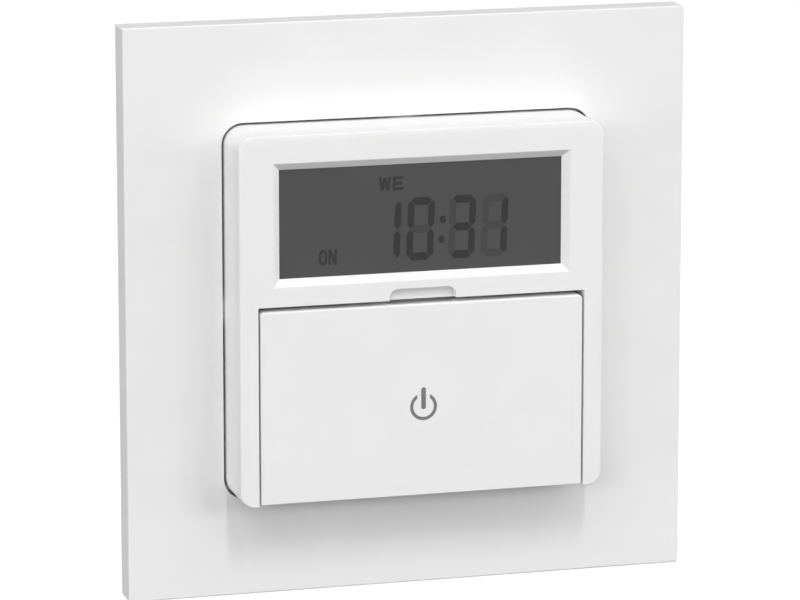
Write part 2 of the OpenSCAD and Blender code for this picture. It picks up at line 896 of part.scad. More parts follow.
module header_base() {
  color(black) difference() {
    block(
      [-header_w / 2, board_back_y, header_z - header_h / 2],
      [header_w / 2, board_back_y + header_base_t, header_z + header_h / 2]
    );
    at_header_pins()
      rod_y(0, 0, header_pin_r + pin_fit, board_back_y - over_cut, board_back_y + header_base_t + over_cut);
  }
}

module header_pins() {
  plug_in = 3;
  color(brass_yellow) at_header_pins()
    rod_y(0, 0, header_pin_r, board_back_y, plug_in);
}

// Back cover of the module: plate, tub and the hooks that hold it to the support plate
module module_back() {
  half = module_inner / 2 - seat_gap;
  hook_x = plate_open_x - 2 * touch_gap;
  hook_y = plate_back_y + touch_gap;
  color(white) difference() {
    union() {
      block([-half, back_front_y, -half], [half, skirt_end_y, half]);
      slab(2 * tub_x, 2 * tub_z, plate_open_corner, back_front_y, tub_back_y);
      for (sx = [-1, 1], sz = [-1, 1]) {
        translate([sx * half, (skirt_end_y + back_front_y) / 2, sz * snap_z])
          cube([2 * snap_reach, snap_t, snap_w], center = true);
        rod_y(sx * pillar_at, sz * pillar_at, pillar_r, board_back_y, skirt_end_y);
      }
      for (side = [0, 1], z = [-hook_z, hook_z])
        mirror([side, 0, 0]) {
          block(
            [hook_x - hook_t, back_front_y, z - hook_w / 2], [hook_x, hook_y + hook_lip, z + hook_w / 2]
          );
          block(
            [hook_x - hook_t, hook_y, z - hook_w / 2],
            [hook_x + hook_lip, hook_y + hook_lip, z + hook_w / 2]
          );
        }
    }
    slab(
      2 * (tub_x - tub_wall), 2 * (tub_z - tub_wall), plate_open_corner / 2,
      back_front_y - over_cut, tub_back_y - tub_wall
    );
    block(
      [-header_w / 2 - seat_gap, back_front_y, header_z - header_h / 2 - seat_gap],
      [header_w / 2 + seat_gap, tub_back_y + over_cut, header_z + header_h / 2 + seat_gap]
    );
    for (sx = [-1, 1])
      rod_y(
        sx * bridge_screw_x, bridge_mid, small_head_r + seat_gap,
        back_front_y - over_cut, skirt_end_y + over_cut
      );
  }
}

// Rear unit

module case_screws() {
  color(steel) for (sx = [-1, 1], sz = [-1, 1]) {
    rod_y(sx * post_x, sz * post_z, case_head_r, plate_front_y - case_head_t, plate_front_y);
    rod_y(sx * post_x, sz * post_z, case_screw_r, plate_front_y, case_screw_end);
  }
}

module case_cover() {
  color(dark_grey) difference() {
    union() {
      case_prism(case_half, case_bevel, plate_back_y, cover_t);
      for (sx = [-1, 1], sz = [-1, 1])
        rod_y(sx * stud_x, sz * rib_z, stud_r, 0, power_front_y);
    }
    for (sx = [-1, 1], sz = [-1, 1])
      rod_y(sx * post_x, sz * post_z, case_screw_r + seat_gap, -over_cut, cover_t + over_cut);
    block(
      [-header_w / 2 - 2 * seat_gap, -over_cut, header_z - header_h / 2 - 2 * seat_gap],
      [header_w / 2 + 2 * seat_gap, cover_t + over_cut, header_z + header_h / 2 + 2 * seat_gap]
    );
  }
}

module rear_case() {
  color(dark_grey) difference() {
    union() {
      difference() {
        case_prism(case_half, case_bevel, cover_t, case_rear_y);
        case_prism(case_inner_half, case_inner_bevel, cover_t - over_cut, case_floor_y);
      }
      intersection() {
        case_prism(case_half, case_bevel, cover_t, case_rear_y);
        for (sx = [-1, 1], sz = [-1, 1])
          rod_y(sx * post_x, sz * post_z, post_r, cover_t, post_end_y);
      }
      for (side = [0, 1])
        mirror([side, 0, 0])
          block(
            [case_inner_half - rib_t, power_back_y, rib_z - rib_h / 2],
            [case_inner_half + touch_gap, case_floor_y + touch_gap, rib_z + rib_h / 2]
          );
    }
    for (sx = [-1, 1], sz = [-1, 1])
      rod_y(
        sx * post_x, sz * post_z, case_screw_r + pin_fit, cover_t - over_cut, case_screw_end + 2 * touch_gap
      );
    for (x = terminal_xs) {
      rod_y(x, wire_z, wire_r, case_floor_y - over_cut, case_rear_y + over_cut);
      rod_z(x, clamp_mid_y, screw_head_r + run_gap, -case_half - over_cut, -case_inner_half + over_cut);
    }
  }
}

module power_board() {
  color(board_green) difference() {
    case_prism(power_half, case_inner_bevel, power_front_y, power_back_y);
    for (sx = [-1, 1], sz = [-1, 1])
      rod_y(
        sx * post_x, sz * post_z, post_r + 2 * seat_gap, power_front_y - over_cut, power_back_y + over_cut
      );
    for (x = terminal_xs)
      block(
        [x - bar_tail_w / 2 - seat_gap, power_front_y - over_cut, bar_z - seat_gap],
        [x + bar_tail_w / 2 + seat_gap, power_back_y + over_cut, bar_z + bar_t + seat_gap]
      );
  }
}

module header_socket() {
  mouth_y = 0.3;
  depth = 3.6;
  color(black) difference() {
    block(
      [-header_w / 2, mouth_y, header_z - header_h / 2],
      [header_w / 2, power_front_y, header_z + header_h / 2]
    );
    at_header_pins()
      rod_y(0, 0, header_pin_r + seat_gap, mouth_y - over_cut, depth);
  }
}

// Relay

module relay_base() {
  color(black) translate(relay_at)
    block([0, 0, -relay_w / 2], [relay_len, relay_base_t, relay_w / 2]);
}

module relay_cover() {
  color(relay_blue) translate(relay_at) difference() {
    block([0, relay_base_t, -relay_w / 2], [relay_len, relay_h, relay_w / 2]);
    block(
      [relay_wall, relay_base_t - over_cut, -relay_w / 2 + relay_wall],
      [relay_len - relay_wall, relay_h - relay_wall, relay_w / 2 - relay_wall]
    );
  }
}

// Spool on two feet that stand on the relay's base
module relay_bobbin() {
  color(white) translate(relay_at) difference() {
    union() {
      for (x = [coil_front_x - spool_t, coil_back_x])
        block(
          [x, relay_base_t, -flange_size / 2],
          [x + spool_t, coil_y + flange_size / 2, flange_size / 2]
        );
      rod_x(coil_y, 0, spool_r, coil_front_x - spool_t, coil_back_x + spool_t);
    }
    rod_x(coil_y, 0, core_r + core_fit, coil_front_x - spool_t - over_cut, coil_back_x + spool_t + over_cut);
  }
}

module relay_coil() {
  color(copper_red) translate(relay_at) difference() {
    rod_x(coil_y, 0, coil_r, coil_front_x + touch_gap, coil_back_x - touch_gap);
    rod_x(coil_y, 0, spool_r + touch_gap, coil_front_x - over_cut, coil_back_x + over_cut);
  }
}

// Iron core, leg and top strip, with the groove in which the armature rocks
module relay_yoke() {
  strip_x = pivot[0] + 2 * run_gap / 3;
  color(steel) translate(relay_at) difference() {
    union() {
      rod_x(coil_y, 0, core_r, pole_x, yoke_leg_x + touch_gap);
      rod_x(coil_y, 0, pole_r, pole_x, pole_x + pole_t);
      block(
        [yoke_leg_x, coil_y - core_r, -yoke_w / 2], [yoke_leg_x + yoke_t, yoke_y + yoke_t, yoke_w / 2]
      );
      block([strip_x, yoke_y, -yoke_w / 2], [yoke_leg_x + yoke_t, yoke_y + yoke_t, yoke_w / 2]);
    }
    translate([pivot[0], pivot[1], -yoke_w]) cylinder(r = heel_r + pin_fit, h = 2 * yoke_w);
  }
}

module relay_armature() {
  face_x = pivot[0];
  color(steel) translate(relay_at) union() {
    block([face_x - armature_t, armature_foot, -armature_w / 2], [face_x, pivot[1], armature_w / 2]);
    translate([pivot[0], pivot[1], -armature_w / 2]) cylinder(r = heel_r, h = armature_w);
    rod_x(contact_y, 0, contact_r, face_x - touch_gap, face_x + contact_t);
  }
}

module relay_contact() {
  tip_x = pivot[0] + contact_t + contact_gap;
  color(brass_yellow) translate(relay_at) union() {
    rod_x(contact_y, 0, contact_r, tip_x, tip_x + contact_t + touch_gap);
    block(
      [tip_x + contact_t, relay_base_t, -contact_r],
      [tip_x + contact_t + post_t, contact_y + contact_r, contact_r]
    );
  }
}

// Other parts on the power board

module film_capacitor() {
  color(dark_grey) translate([film_cap_at[0], power_back_y, film_cap_at[1]])
    block([-film_cap_w / 2, 0, -film_cap_h / 2], [film_cap_w / 2, film_cap_t, film_cap_h / 2]);
}

// Electrolytic can with the groove near its foot
module smoothing_capacitor() {
  groove_at = 1.5;
  color(black) translate([can_x, power_back_y, round_z]) difference() {
    rod_y(0, 0, can_r, 0, can_h);
    rotate([-90, 0, 0]) rotate_extrude()
      translate([can_r + can_groove / 2, groove_at]) circle(r = can_groove);
  }
}

// Disc on two leads
module varistor() {
  color(relay_blue) translate([disc_x, power_back_y, round_z]) union() {
    rod_x(disc_r + disc_lift, 0, disc_r, -disc_t / 2, disc_t / 2);
    for (side = [-1, 1]) rod_y(0, side * lead_pitch / 2, lead_r, 0, disc_r + disc_lift);
  }
}

module fuse() {
  color(dark_grey) rod_y(fuse_x, round_z, fuse_r, power_back_y, power_back_y + fuse_h);
}

// Terminals

// Comb of chambers that guides the wire clamps
module terminal_block() {
  half = 2 * terminal_pitch + wall_between / 2;
  color(light_grey) difference() {
    intersection() {
      union() {
        for (i = [0 : 4]) {
          x = (i - 2) * terminal_pitch;
          block(
            [x - wall_between / 2, block_front_y, block_foot_z],
            [x + wall_between / 2, case_floor_y, block_roof_z]
          );
        }
        block([-half, block_front_y, block_roof_z], [half, case_floor_y, block_roof_z + block_roof_t]);
        block(
          [-half, block_front_y, block_foot_z], [half, block_front_y + block_wall_t, block_roof_z + touch_gap]
        );
      }
      case_prism(case_inner_half - touch_gap, case_inner_bevel, block_front_y, case_floor_y);
    }
    for (x = terminal_xs)
      block(
        [x - bar_w / 2 - pin_fit, block_front_y - over_cut, bar_z - pin_fit],
        [x + bar_w / 2 + pin_fit, block_front_y + block_wall_t + over_cut, bar_z + bar_t + pin_fit]
      );
  }
}

// Copper bars from the power board into the clamps
module terminal_bars() {
  color(copper_red) for (x = terminal_xs) {
    block([x - bar_w / 2, power_back_y, bar_z], [x + bar_w / 2, clamp_rear_y + run_gap, bar_z + bar_t]);
    block(
      [x - bar_tail_w / 2, power_front_y - bar_tail_out, bar_z],
      [x + bar_tail_w / 2, power_back_y + touch_gap, bar_z + bar_t]
    );
  }
}

// Screw that turns on the spot below a bar, with a driver slot in its head
module terminal_screw(index) {
  x = terminal_xs[index];
  color(steel) difference() {
    union() {
      rod_z(x, clamp_mid_y, terminal_screw_r, screw_head_z + screw_head_t - touch_gap, bar_z - touch_gap);
      rod_z(x, clamp_mid_y, screw_head_r, screw_head_z, screw_head_z + screw_head_t);
    }
    block(
      [x - screw_head_r - over_cut, clamp_mid_y - screw_slot_w / 2, screw_head_z - over_cut],
      [x + screw_head_r + over_cut, clamp_mid_y + screw_slot_w / 2, screw_head_z + screw_slot_depth]
    );
  }
}

// Cage that a screw draws down, so that its roof presses the wire on the bar
module terminal_clamp(index) {
  x = terminal_xs[index];
  color(brass_yellow) difference() {
    block([x - clamp_w / 2, clamp_front_y, clamp_z], [x + clamp_w / 2, clamp_rear_y, clamp_top_z]);
    block(
      [x - clamp_w / 2 + clamp_side_t, clamp_front_y - over_cut, clamp_z + clamp_foot_t],
      [x + clamp_w / 2 - clamp_side_t, clamp_rear_y + over_cut, clamp_roof_z]
    );
    rod_z(x, clamp_mid_y, terminal_screw_r + pin_fit, clamp_z - over_cut, clamp_z + clamp_foot_t + over_cut);
  }
}

cover_frame();
support_plate();
front_housing();
key_panel();
hinge_pin();
flap();
menu_key();
minus_key();
plus_key();
ok_key();
reset_key();
on_off_plunger();
keypad_mat();
lcd_polariser();
lcd_front_glass();
lcd_rear_glass();
lcd_reflector();
contact_strip();
lcd_holder();
control_board();
board_screws();
microcontroller();
crystal();
backup_cell();
cell_clip();
header_base();
header_pins();
module_back();
case_screws();
case_cover();
rear_case();
power_board();
header_socket();
relay_base();
relay_cover();
relay_bobbin();
relay_coil();
relay_yoke();
relay_contact();
relay_armature();
film_capacitor();
smoothing_capacitor();
varistor();
fuse();
terminal_block();
terminal_bars();
terminal_screw(0);  // terminal_screw_1
terminal_screw(1);  // terminal_screw_2
terminal_screw(2);  // terminal_screw_3
terminal_screw(3);  // terminal_screw_4
terminal_clamp(0);  // terminal_clamp_1
terminal_clamp(1);  // terminal_clamp_2
terminal_clamp(2);  // terminal_clamp_3
terminal_clamp(3);  // terminal_clamp_4
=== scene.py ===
"""Looks of a flush-mounted timer light switch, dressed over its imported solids.

Shapes are written in millimetres, in the frame of the solids, and scaled to metres as each piece is made.
"""

import json
import math

import bmesh
import bpy
from mathutils import Matrix, Vector


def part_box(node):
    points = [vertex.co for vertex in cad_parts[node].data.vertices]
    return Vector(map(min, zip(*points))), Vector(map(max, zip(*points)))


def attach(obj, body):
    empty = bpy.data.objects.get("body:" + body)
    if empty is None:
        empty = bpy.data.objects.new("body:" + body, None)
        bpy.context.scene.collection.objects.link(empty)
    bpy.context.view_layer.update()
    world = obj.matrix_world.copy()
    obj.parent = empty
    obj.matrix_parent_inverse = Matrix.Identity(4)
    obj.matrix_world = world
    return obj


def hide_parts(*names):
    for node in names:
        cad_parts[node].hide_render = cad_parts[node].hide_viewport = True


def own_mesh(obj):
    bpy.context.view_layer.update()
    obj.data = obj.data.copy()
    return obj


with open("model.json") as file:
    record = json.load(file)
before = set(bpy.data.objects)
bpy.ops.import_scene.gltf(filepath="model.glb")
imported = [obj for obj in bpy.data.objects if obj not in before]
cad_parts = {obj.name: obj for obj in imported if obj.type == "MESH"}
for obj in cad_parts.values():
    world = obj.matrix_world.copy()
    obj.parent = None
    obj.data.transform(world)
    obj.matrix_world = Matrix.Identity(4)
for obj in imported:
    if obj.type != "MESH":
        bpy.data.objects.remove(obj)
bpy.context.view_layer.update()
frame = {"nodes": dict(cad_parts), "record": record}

MM = 0.001
SMOOTH_ANGLE = math.radians(32)
BEVEL_ANGLE = math.radians(40)
CORNER_STEPS = 10
EDGE_STEPS = 5
ROUND_STEPS = 48
# how far cutters reach past what they cut, and within what distance points merge
OVER = 1.0
SNAP = 1e-4


def box_mm(node):
    """Lowest and highest corner of a solid, in millimetres."""
    low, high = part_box(node)
    return low / MM, high / MM


def middle_mm(node):
    """Middle of a solid, in millimetres."""
    low, high = box_mm(node)
    return [(near + far) / 2 for near, far in zip(low, high)]


frame_low, frame_high = box_mm("cover_frame")
module_low, module_high = box_mm("front_housing")
flap_low, flap_high = box_mm("flap")
screen_low, screen_high = box_mm("lcd_polariser")
pin_low, pin_high = box_mm("hinge_pin")
case_low, case_high = box_mm("rear_case")

FRONT = module_low.y
FRAME_FRONT = frame_low.y
MODULE_HALF = module_high.x
PANEL_FRONT = box_mm("key_panel")[0].y
# (y, z) of the hinge pin, and the radius of the holes it sits in
PIN_AT = middle_mm("hinge_pin")[1:]
PIN_HOLE_R = 0.65


# Outlines, each a list of (x, z) points


def rounded_outline(low, high, top_r, bottom_r=None):
    """Rectangle from low to high with rounded corners, anticlockwise seen from the front."""
    foot_r = top_r if bottom_r is None else bottom_r
    corners = (
        (high[0], high[1], -1, -1, top_r),
        (low[0], high[1], 1, -1, top_r),
        (low[0], low[1], 1, 1, foot_r),
        (high[0], low[1], -1, 1, foot_r),
    )
    points = []
    for quarter, (x, z, to_x, to_z, radius) in enumerate(corners):
        for step in range(CORNER_STEPS + 1):
            angle = (quarter + step / CORNER_STEPS) * math.pi / 2
            across, up = to_x + math.cos(angle), to_z + math.sin(angle)
            points.append((x + radius * across, z + radius * up))
    return points


def rounded_square(half, radius):
    return rounded_outline((-half, -half), (half, half), radius)


def rectangle(low, high):
    return [(high[0], high[1]), (low[0], high[1]), (low[0], low[1]), (high[0], low[1])]


def circle(centre, radius, steps=ROUND_STEPS):
    turn = 2 * math.pi / steps
    return [
        (centre[0] + radius * math.cos(i * turn), centre[1] + radius * math.sin(i * turn))
        for i in range(steps)
    ]


def obround(start, end, radius):
    """Slot outline between two centres."""
    along = math.atan2(end[1] - start[1], end[0] - start[0])
    half = ROUND_STEPS // 2
    points = []
    for centre, first in ((end, along - math.pi / 2), (start, along + math.pi / 2)):
        for step in range(half + 1):
            angle = first + step / half * math.pi
            points.append((centre[0] + radius * math.cos(angle), centre[1] + radius * math.sin(angle)))
    return points


def edge_round(radius):
    """(inset, depth) pairs of a rounded edge, from the face to the side."""
    pairs = []
    for step in range(EDGE_STEPS + 1):
        angle = step / EDGE_STEPS * math.pi / 2
        pairs.append((radius * (1 - math.sin(angle)), radius * (1 - math.cos(angle))))
    return pairs


# Meshes


def at_depth(outline, y):
    """Outline laid in the plane at depth y."""
    return [(x, y, z) for x, z in outline]


def at_side(outline, x):
    """Outline of (y, z) points laid across the x axis."""
    return [(x, y, z) for y, z in outline]


def at_height(outline, z):
    """Outline of (x, y) points laid across the z axis."""
    return [(x, y, z) for x, y in outline]


def loft(rings, ring_shaped=False):
    """Skin through rings of equally many points, capped, or joined end to end into a ring."""
    mesh = bmesh.new()
    loops = [[mesh.verts.new(point) for point in ring] for ring in rings]
    followers = loops[1:] + loops[:1] if ring_shaped else loops[1:]
    for first, second in zip(loops, followers):
        for i, corner in enumerate(first):
            after = (i + 1) % len(first)
            mesh.faces.new((corner, first[after], second[after], second[i]))
    if not ring_shaped:
        mesh.faces.new(loops[0][::-1])
        mesh.faces.new(loops[-1])
    bmesh.ops.recalc_face_normals(mesh, faces=mesh.faces)
    return mesh


def prism(outline, y0, y1):
    return loft([at_depth(outline, y0), at_depth(outline, y1)])


def block(low, high):
    return prism(rectangle((low[0], low[2]), (high[0], high[2])), low[1], high[1])


def soft_plate(low, high, radius, y0, y1, front_edge, rear_edge):
    """Rounded plate with rounded front and rear edges."""
    rings = []
    for edge, y, inward in ((front_edge, y0, 1), (rear_edge, y1, -1)):
        steps = [
            at_depth(
                rounded_outline(
                    (low[0] + inset, low[1] + inset),
                    (high[0] - inset, high[1] - inset),
                    max(radius - inset, edge / 4),
                ),
                y + inward * depth,
            )
            for inset, depth in edge_round(edge)
        ]
        rings += steps if inward > 0 else steps[::-1]
    return loft(rings)


def rod_y(centre, radius, y0, y1):
    return prism(circle(centre, radius), y0, y1)


def rod_x(centre, radius, x0, x1):
    outline = circle(centre, radius)
    return loft([at_side(outline, x0), at_side(outline, x1)])


def turned_y(centre, profile):
    """Round form about a line along y, through (radius, y) pairs."""
    return loft([at_depth(circle(centre, radius), y) for radius, y in profile])


def turned_z(centre, profile):
    """Round form about an upright line, through (radius, z) pairs."""
    return loft([at_height(circle(centre, radius), z) for radius, z in profile])


def button_rod(centre, radius, y0, y1, edge):
    """Round pin with a rounded front edge."""
    rings = [at_depth(circle(centre, radius - inset), y0 + depth) for inset, depth in edge_round(edge)]
    rings.append(at_depth(circle(centre, radius), y1))
    return loft(rings)


def mesh_data(name, mesh):
    """Turns a mesh under construction into mesh data, and frees it."""
    data = bpy.data.meshes.new(name)
    mesh.to_mesh(data)
    mesh.free()
    return data


def add_object(name, data):
    made = bpy.data.objects.new(name, data)
    bpy.context.scene.collection.objects.link(made)
    return made


def combine(target, tools, operation):
    """The target mesh with the tool meshes taken off it, added to it or intersected with it."""
    base, *others = [add_object("scratch", mesh_data("scratch", mesh)) for mesh in (target, *tools)]
    for other in others:
        step = base.modifiers.new("step", "BOOLEAN")
        step.operation = operation
        step.solver = "EXACT"
        step.object = other
    evaluated = base.evaluated_get(bpy.context.evaluated_depsgraph_get())
    result = bmesh.new()
    result.from_mesh(evaluated.to_mesh())
    evaluated.to_mesh_clear()
    for made in [base, *others]:
        data = made.data
        bpy.data.objects.remove(made)
        bpy.data.meshes.remove(data)
    bmesh.ops.remove_doubles(result, verts=result.verts, dist=SNAP)
    bmesh.ops.dissolve_degenerate(result, edges=result.edges, dist=SNAP)
    return result


def cut(target, tools):
    return combine(target, tools, "DIFFERENCE")


def join(target, tools):
    return combine(target, tools, "UNION")


def merged(meshes):
    """Several separate meshes as one."""
    result = bmesh.new()
    for mesh in meshes:
        data = mesh_data("scratch", mesh)
        result.from_mesh(data)
        bpy.data.meshes.remove(data)
    return result


def weight_normals(piece):
    """Keeps large faces looking flat beside small ones."""
    weighted = piece.modifiers.new("weighted", "WEIGHTED_NORMAL")
    weighted.keep_sharp = True


def shade(piece):
    """Smooth faces that break only at real edges."""
    data = piece.data
    data.polygons.foreach_set("use_smooth", [True] * len(data.polygons))
    data.set_sharp_from_angle(angle=SMOOTH_ANGLE)
    weight_normals(piece)


def make_piece(name, mesh, slot, replaced=(), body="base", look=None):
    """Puts a mesh into the scene as a piece, with the look of its slot unless another is named."""
    mesh.transform(Matrix.Scale(MM, 4))
    data = mesh_data(name, mesh)
    data.materials.append(MATERIALS[look or slot])
    piece = add_object(name, data)
    shade(piece)
    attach(piece, body)
    if replaced:
        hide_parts(*replaced)
    return piece


def soften(piece, width):
    """Breaks the sharp edges of a piece."""
    bevel = piece.modifiers.new("bevel", "BEVEL")
    bevel.width = width * MM
    bevel.segments = 2
    bevel.limit_method = "ANGLE"
    bevel.angle_limit = BEVEL_ANGLE


# Materials


class Surface:
    """Builds the node tree of one material."""

    def __init__(self, name, roughness, metallic=0.0):
        self.material = bpy.data.materials.new(name)
        self.material.use_nodes = True
        self.nodes = self.material.node_tree.nodes
        self.links = self.material.node_tree.links
        self.shader = self.nodes["Principled BSDF"]
        self.set("Roughness", roughness)
        self.set("Metallic", metallic)
        self.place = self.nodes.new("ShaderNodeTexCoord").outputs["Object"]

    def set(self, socket, value):
        self.shader.inputs[socket].default_value = value

    def stretched(self, stretch):
        """The place on the object, scaled apart along its axes."""
        mapping = self.nodes.new("ShaderNodeMapping")
        mapping.inputs["Scale"].default_value = stretch
        self.links.new(self.place, mapping.inputs["Vector"])
        return mapping.outputs["Vector"]

    def noise(self, size, detail=2.0, place=None):
        """Grain whose features are about size millimetres across."""
        texture = self.nodes.new("ShaderNodeTexNoise")
        texture.inputs["Scale"].default_value = 1 / (size * MM)
        texture.inputs["Detail"].default_value = detail
        self.links.new(place or self.place, texture.inputs["Vector"])
        return texture.outputs["Fac"]

    def ramp(self, source, low, high):
        """Colours from low to high as the source rises."""
        node = self.nodes.new("ShaderNodeValToRGB")
        for element, edge, colour in zip(node.color_ramp.elements, (0.3, 0.7), (low, high)):
            element.position = edge
            element.color = (*colour, 1)
        self.links.new(source, node.inputs["Fac"])
        return node.outputs["Color"]

    def colour(self, source):
        self.links.new(source, self.shader.inputs["Base Color"])

    def clouded(self, colour, spread, size, detail=2.0):
        """A colour that is a little darker and lighter from place to place."""
        low, high = [[channel * share for channel in colour] for share in (1 - spread, 1 + spread)]
        self.colour(self.ramp(self.noise(size, detail), low, high))

    def vary_roughness(self, source, low, high):
        node = self.nodes.new("ShaderNodeMapRange")
        node.inputs["To Min"].default_value = low
        node.inputs["To Max"].default_value = high
        self.links.new(source, node.inputs["Value"])
        self.links.new(node.outputs["Result"], self.shader.inputs["Roughness"])

    def bump(self, source, depth, strength=0.5):
        """Relief about depth millimetres deep."""
        node = self.nodes.new("ShaderNodeBump")
        node.inputs["Strength"].default_value = strength
        node.inputs["Distance"].default_value = depth * MM
        self.links.new(source, node.inputs["Height"])
        self.links.new(node.outputs["Normal"], self.shader.inputs["Normal"])


def plastic(name, colour, roughness, grain=0.16, relief=0.012, spread=0.012, gloss=0.4):
    """Moulded plastic: faint clouding, and the fine grain of an eroded mould."""
    cloud, detail, swing = 9.0, 3.0, 0.05
    surface = Surface(name, roughness)
    surface.set("Specular IOR Level", gloss)
    surface.clouded(colour, spread, cloud, detail)
    grit = surface.noise(grain, detail)
    surface.vary_roughness(grit, roughness - swing, roughness + swing)
    surface.bump(grit, relief)
    return surface.material


def plated_metal(name, colour, roughness, stretch=(1, 1, 14), spread=0.06):
    """Drawn or rolled metal with lines along its length."""
    cloud, cloud_detail = 5.0, 3.0
    line_w, line_detail, line_depth, line_strength = 0.6, 4.0, 0.006, 0.4
    smoother, rougher = 0.07, 0.09
    surface = Surface(name, roughness, metallic=1.0)
    lines = surface.noise(line_w, line_detail, surface.stretched(stretch))
    surface.clouded(colour, spread, cloud, cloud_detail)
    surface.vary_roughness(lines, roughness - smoother, roughness + rougher)
    surface.bump(lines, line_depth, line_strength)
    return surface.material


def rubber(name, colour):
    """Matt silicone."""
    roughness, cloud, cloud_detail, spread = 0.62, 3.0, 4.0, 0.05
    grain, relief = 0.12, 0.02
    surface = Surface(name, roughness)
    surface.clouded(colour, spread, cloud, cloud_detail)
    surface.bump(surface.noise(grain), relief)
    return surface.material


def film(name, grey, cloud):
    """Satin film of the display, and the segments and words seen on it."""
    roughness, swing, grain = 0.3, 0.03, 0.2
    gloss, spread = 0.12, 0.04
    surface = Surface(name, roughness)
    surface.set("Specular IOR Level", gloss)
    surface.clouded((grey, grey, grey), spread, cloud)
    surface.vary_roughness(surface.noise(grain), roughness - swing, roughness + swing)
    return surface.material


def glass(name):
    """Clear glass, faintly green."""
    surface = Surface(name, 0.03)
    surface.set("Base Color", (0.86, 0.93, 0.9, 1))
    surface.set("Transmission Weight", 1.0)
    surface.set("IOR", 1.52)
    surface.vary_roughness(surface.noise(2.0, 4.0), 0.0, 0.05)
    return surface.material


def circuit_board(name):
    """Solder mask over copper tracks."""
    surface = Surface(name, 0.38)
    bricks = surface.nodes.new("ShaderNodeTexBrick")
    bricks.offset = 0.37
    looks = {
        "Color1": (0.018, 0.105, 0.045, 1),
        "Color2": (0.022, 0.125, 0.055, 1),
        "Mortar": (0.008, 0.058, 0.024, 1),
        "Scale": 260,
        "Mortar Size": 0.045,
    }
    for socket, value in looks.items():
        bricks.inputs[socket].default_value = value
    turn = surface.nodes.new("ShaderNodeMapping")
    turn.inputs["Rotation"].default_value = (math.pi / 2, 0, 0)
    surface.links.new(surface.place, turn.inputs["Vector"])
    surface.links.new(turn.outputs["Vector"], bricks.inputs["Vector"])
    surface.colour(bricks.outputs["Color"])
    surface.bump(bricks.outputs["Fac"], 0.03)
    return surface.material


def wound_copper(name):
    """Enamelled wire in close turns along the x axis."""
    surface = Surface(name, 0.3, metallic=1.0)
    wave = surface.nodes.new("ShaderNodeTexWave")
    wave.wave_type = "BANDS"
    wave.bands_direction = "X"
    wave.inputs["Scale"].default_value = 1600
    wave.inputs["Distortion"].default_value = 0.4
    surface.links.new(surface.place, wave.inputs["Vector"])
    surface.colour(surface.ramp(wave.outputs["Fac"], (0.42, 0.13, 0.05), (0.72, 0.3, 0.13)))
    surface.bump(wave.outputs["Fac"], 0.05)
    return surface.material


PLASTICS = {
    "white_plastic": dict(colour=(0.83, 0.83, 0.828), roughness=0.5, gloss=0.08),
    "panel_plastic": dict(colour=(0.45, 0.455, 0.46), roughness=0.5, spread=0.03),
    "key_plastic": dict(colour=(0.7, 0.71, 0.72), roughness=0.42, spread=0.02),
    "inner_plastic": dict(colour=(0.7, 0.7, 0.68), roughness=0.45, spread=0.02),
    "case_plastic": dict(colour=(0.03, 0.031, 0.034), roughness=0.52, grain=0.25, relief=0.03, spread=0.1),
    "black_plastic": dict(colour=(0.014, 0.014, 0.016), roughness=0.48, spread=0.1),
    "grey_plastic": dict(colour=(0.19, 0.2, 0.21), roughness=0.46, spread=0.06),
    "relay_plastic": dict(colour=(0.02, 0.06, 0.19), roughness=0.24, spread=0.08),
    "can_sleeve": dict(colour=(0.012, 0.012, 0.026), roughness=0.26, spread=0.15, relief=0.005),
    "mark_print": dict(colour=(0.165, 0.165, 0.165), roughness=0.5, spread=0.05),
    "key_print": dict(colour=(0.03, 0.03, 0.032), roughness=0.5, spread=0.05),
}
METALS = {
    "reflector_film": dict(colour=(0.62, 0.63, 0.62), roughness=0.36, stretch=(1, 1, 1), spread=0.03),
    "zinc_steel": dict(colour=(0.56, 0.57, 0.59), roughness=0.3, spread=0.08),
    "cell_steel": dict(colour=(0.62, 0.61, 0.58), roughness=0.22),
    "soft_iron": dict(colour=(0.4, 0.4, 0.41), roughness=0.4),
    "brass": dict(colour=(0.62, 0.43, 0.16), roughness=0.28),
    "copper": dict(colour=(0.68, 0.3, 0.14), roughness=0.32),
}
FILMS = {
    "screen_film": dict(grey=0.077, cloud=11.0),
    "lit_segment": dict(grey=0.038, cloud=4.0),
    "ghost_segment": dict(grey=0.062, cloud=4.0),
    "screen_word": dict(grey=0.043, cloud=4.0),
}


def make_materials():
    """One material for each slot of the record, and those of the prints and the winding."""
    materials = {
        "display_glass": glass("display_glass"),
        "silicone": rubber("silicone", (0.25, 0.26, 0.28)),
        "circuit_board": circuit_board("circuit_board"),
        "wound_copper": wound_copper("wound_copper"),
    }
    for make, looks in ((plastic, PLASTICS), (plated_metal, METALS), (film, FILMS)):
        for name, look in looks.items():
            materials[name] = make(name, **look)
    return materials


MATERIALS = make_materials()


# Cover frame


def rim_lugs(low, high, front, rear):
    """Two lugs on each side of the window's rim, reaching from low to high off the middle."""
    half, place = 4, MODULE_HALF * 2 / 3
    lugs = []
    for quarter in range(4):
        for z in (-place, place):
            lug = block((low, front, z - half), (high, rear, z + half))
            lug.transform(Matrix.Rotation(quarter * math.pi / 2, 4, "Y"))
            lugs.append(lug)
    return lugs


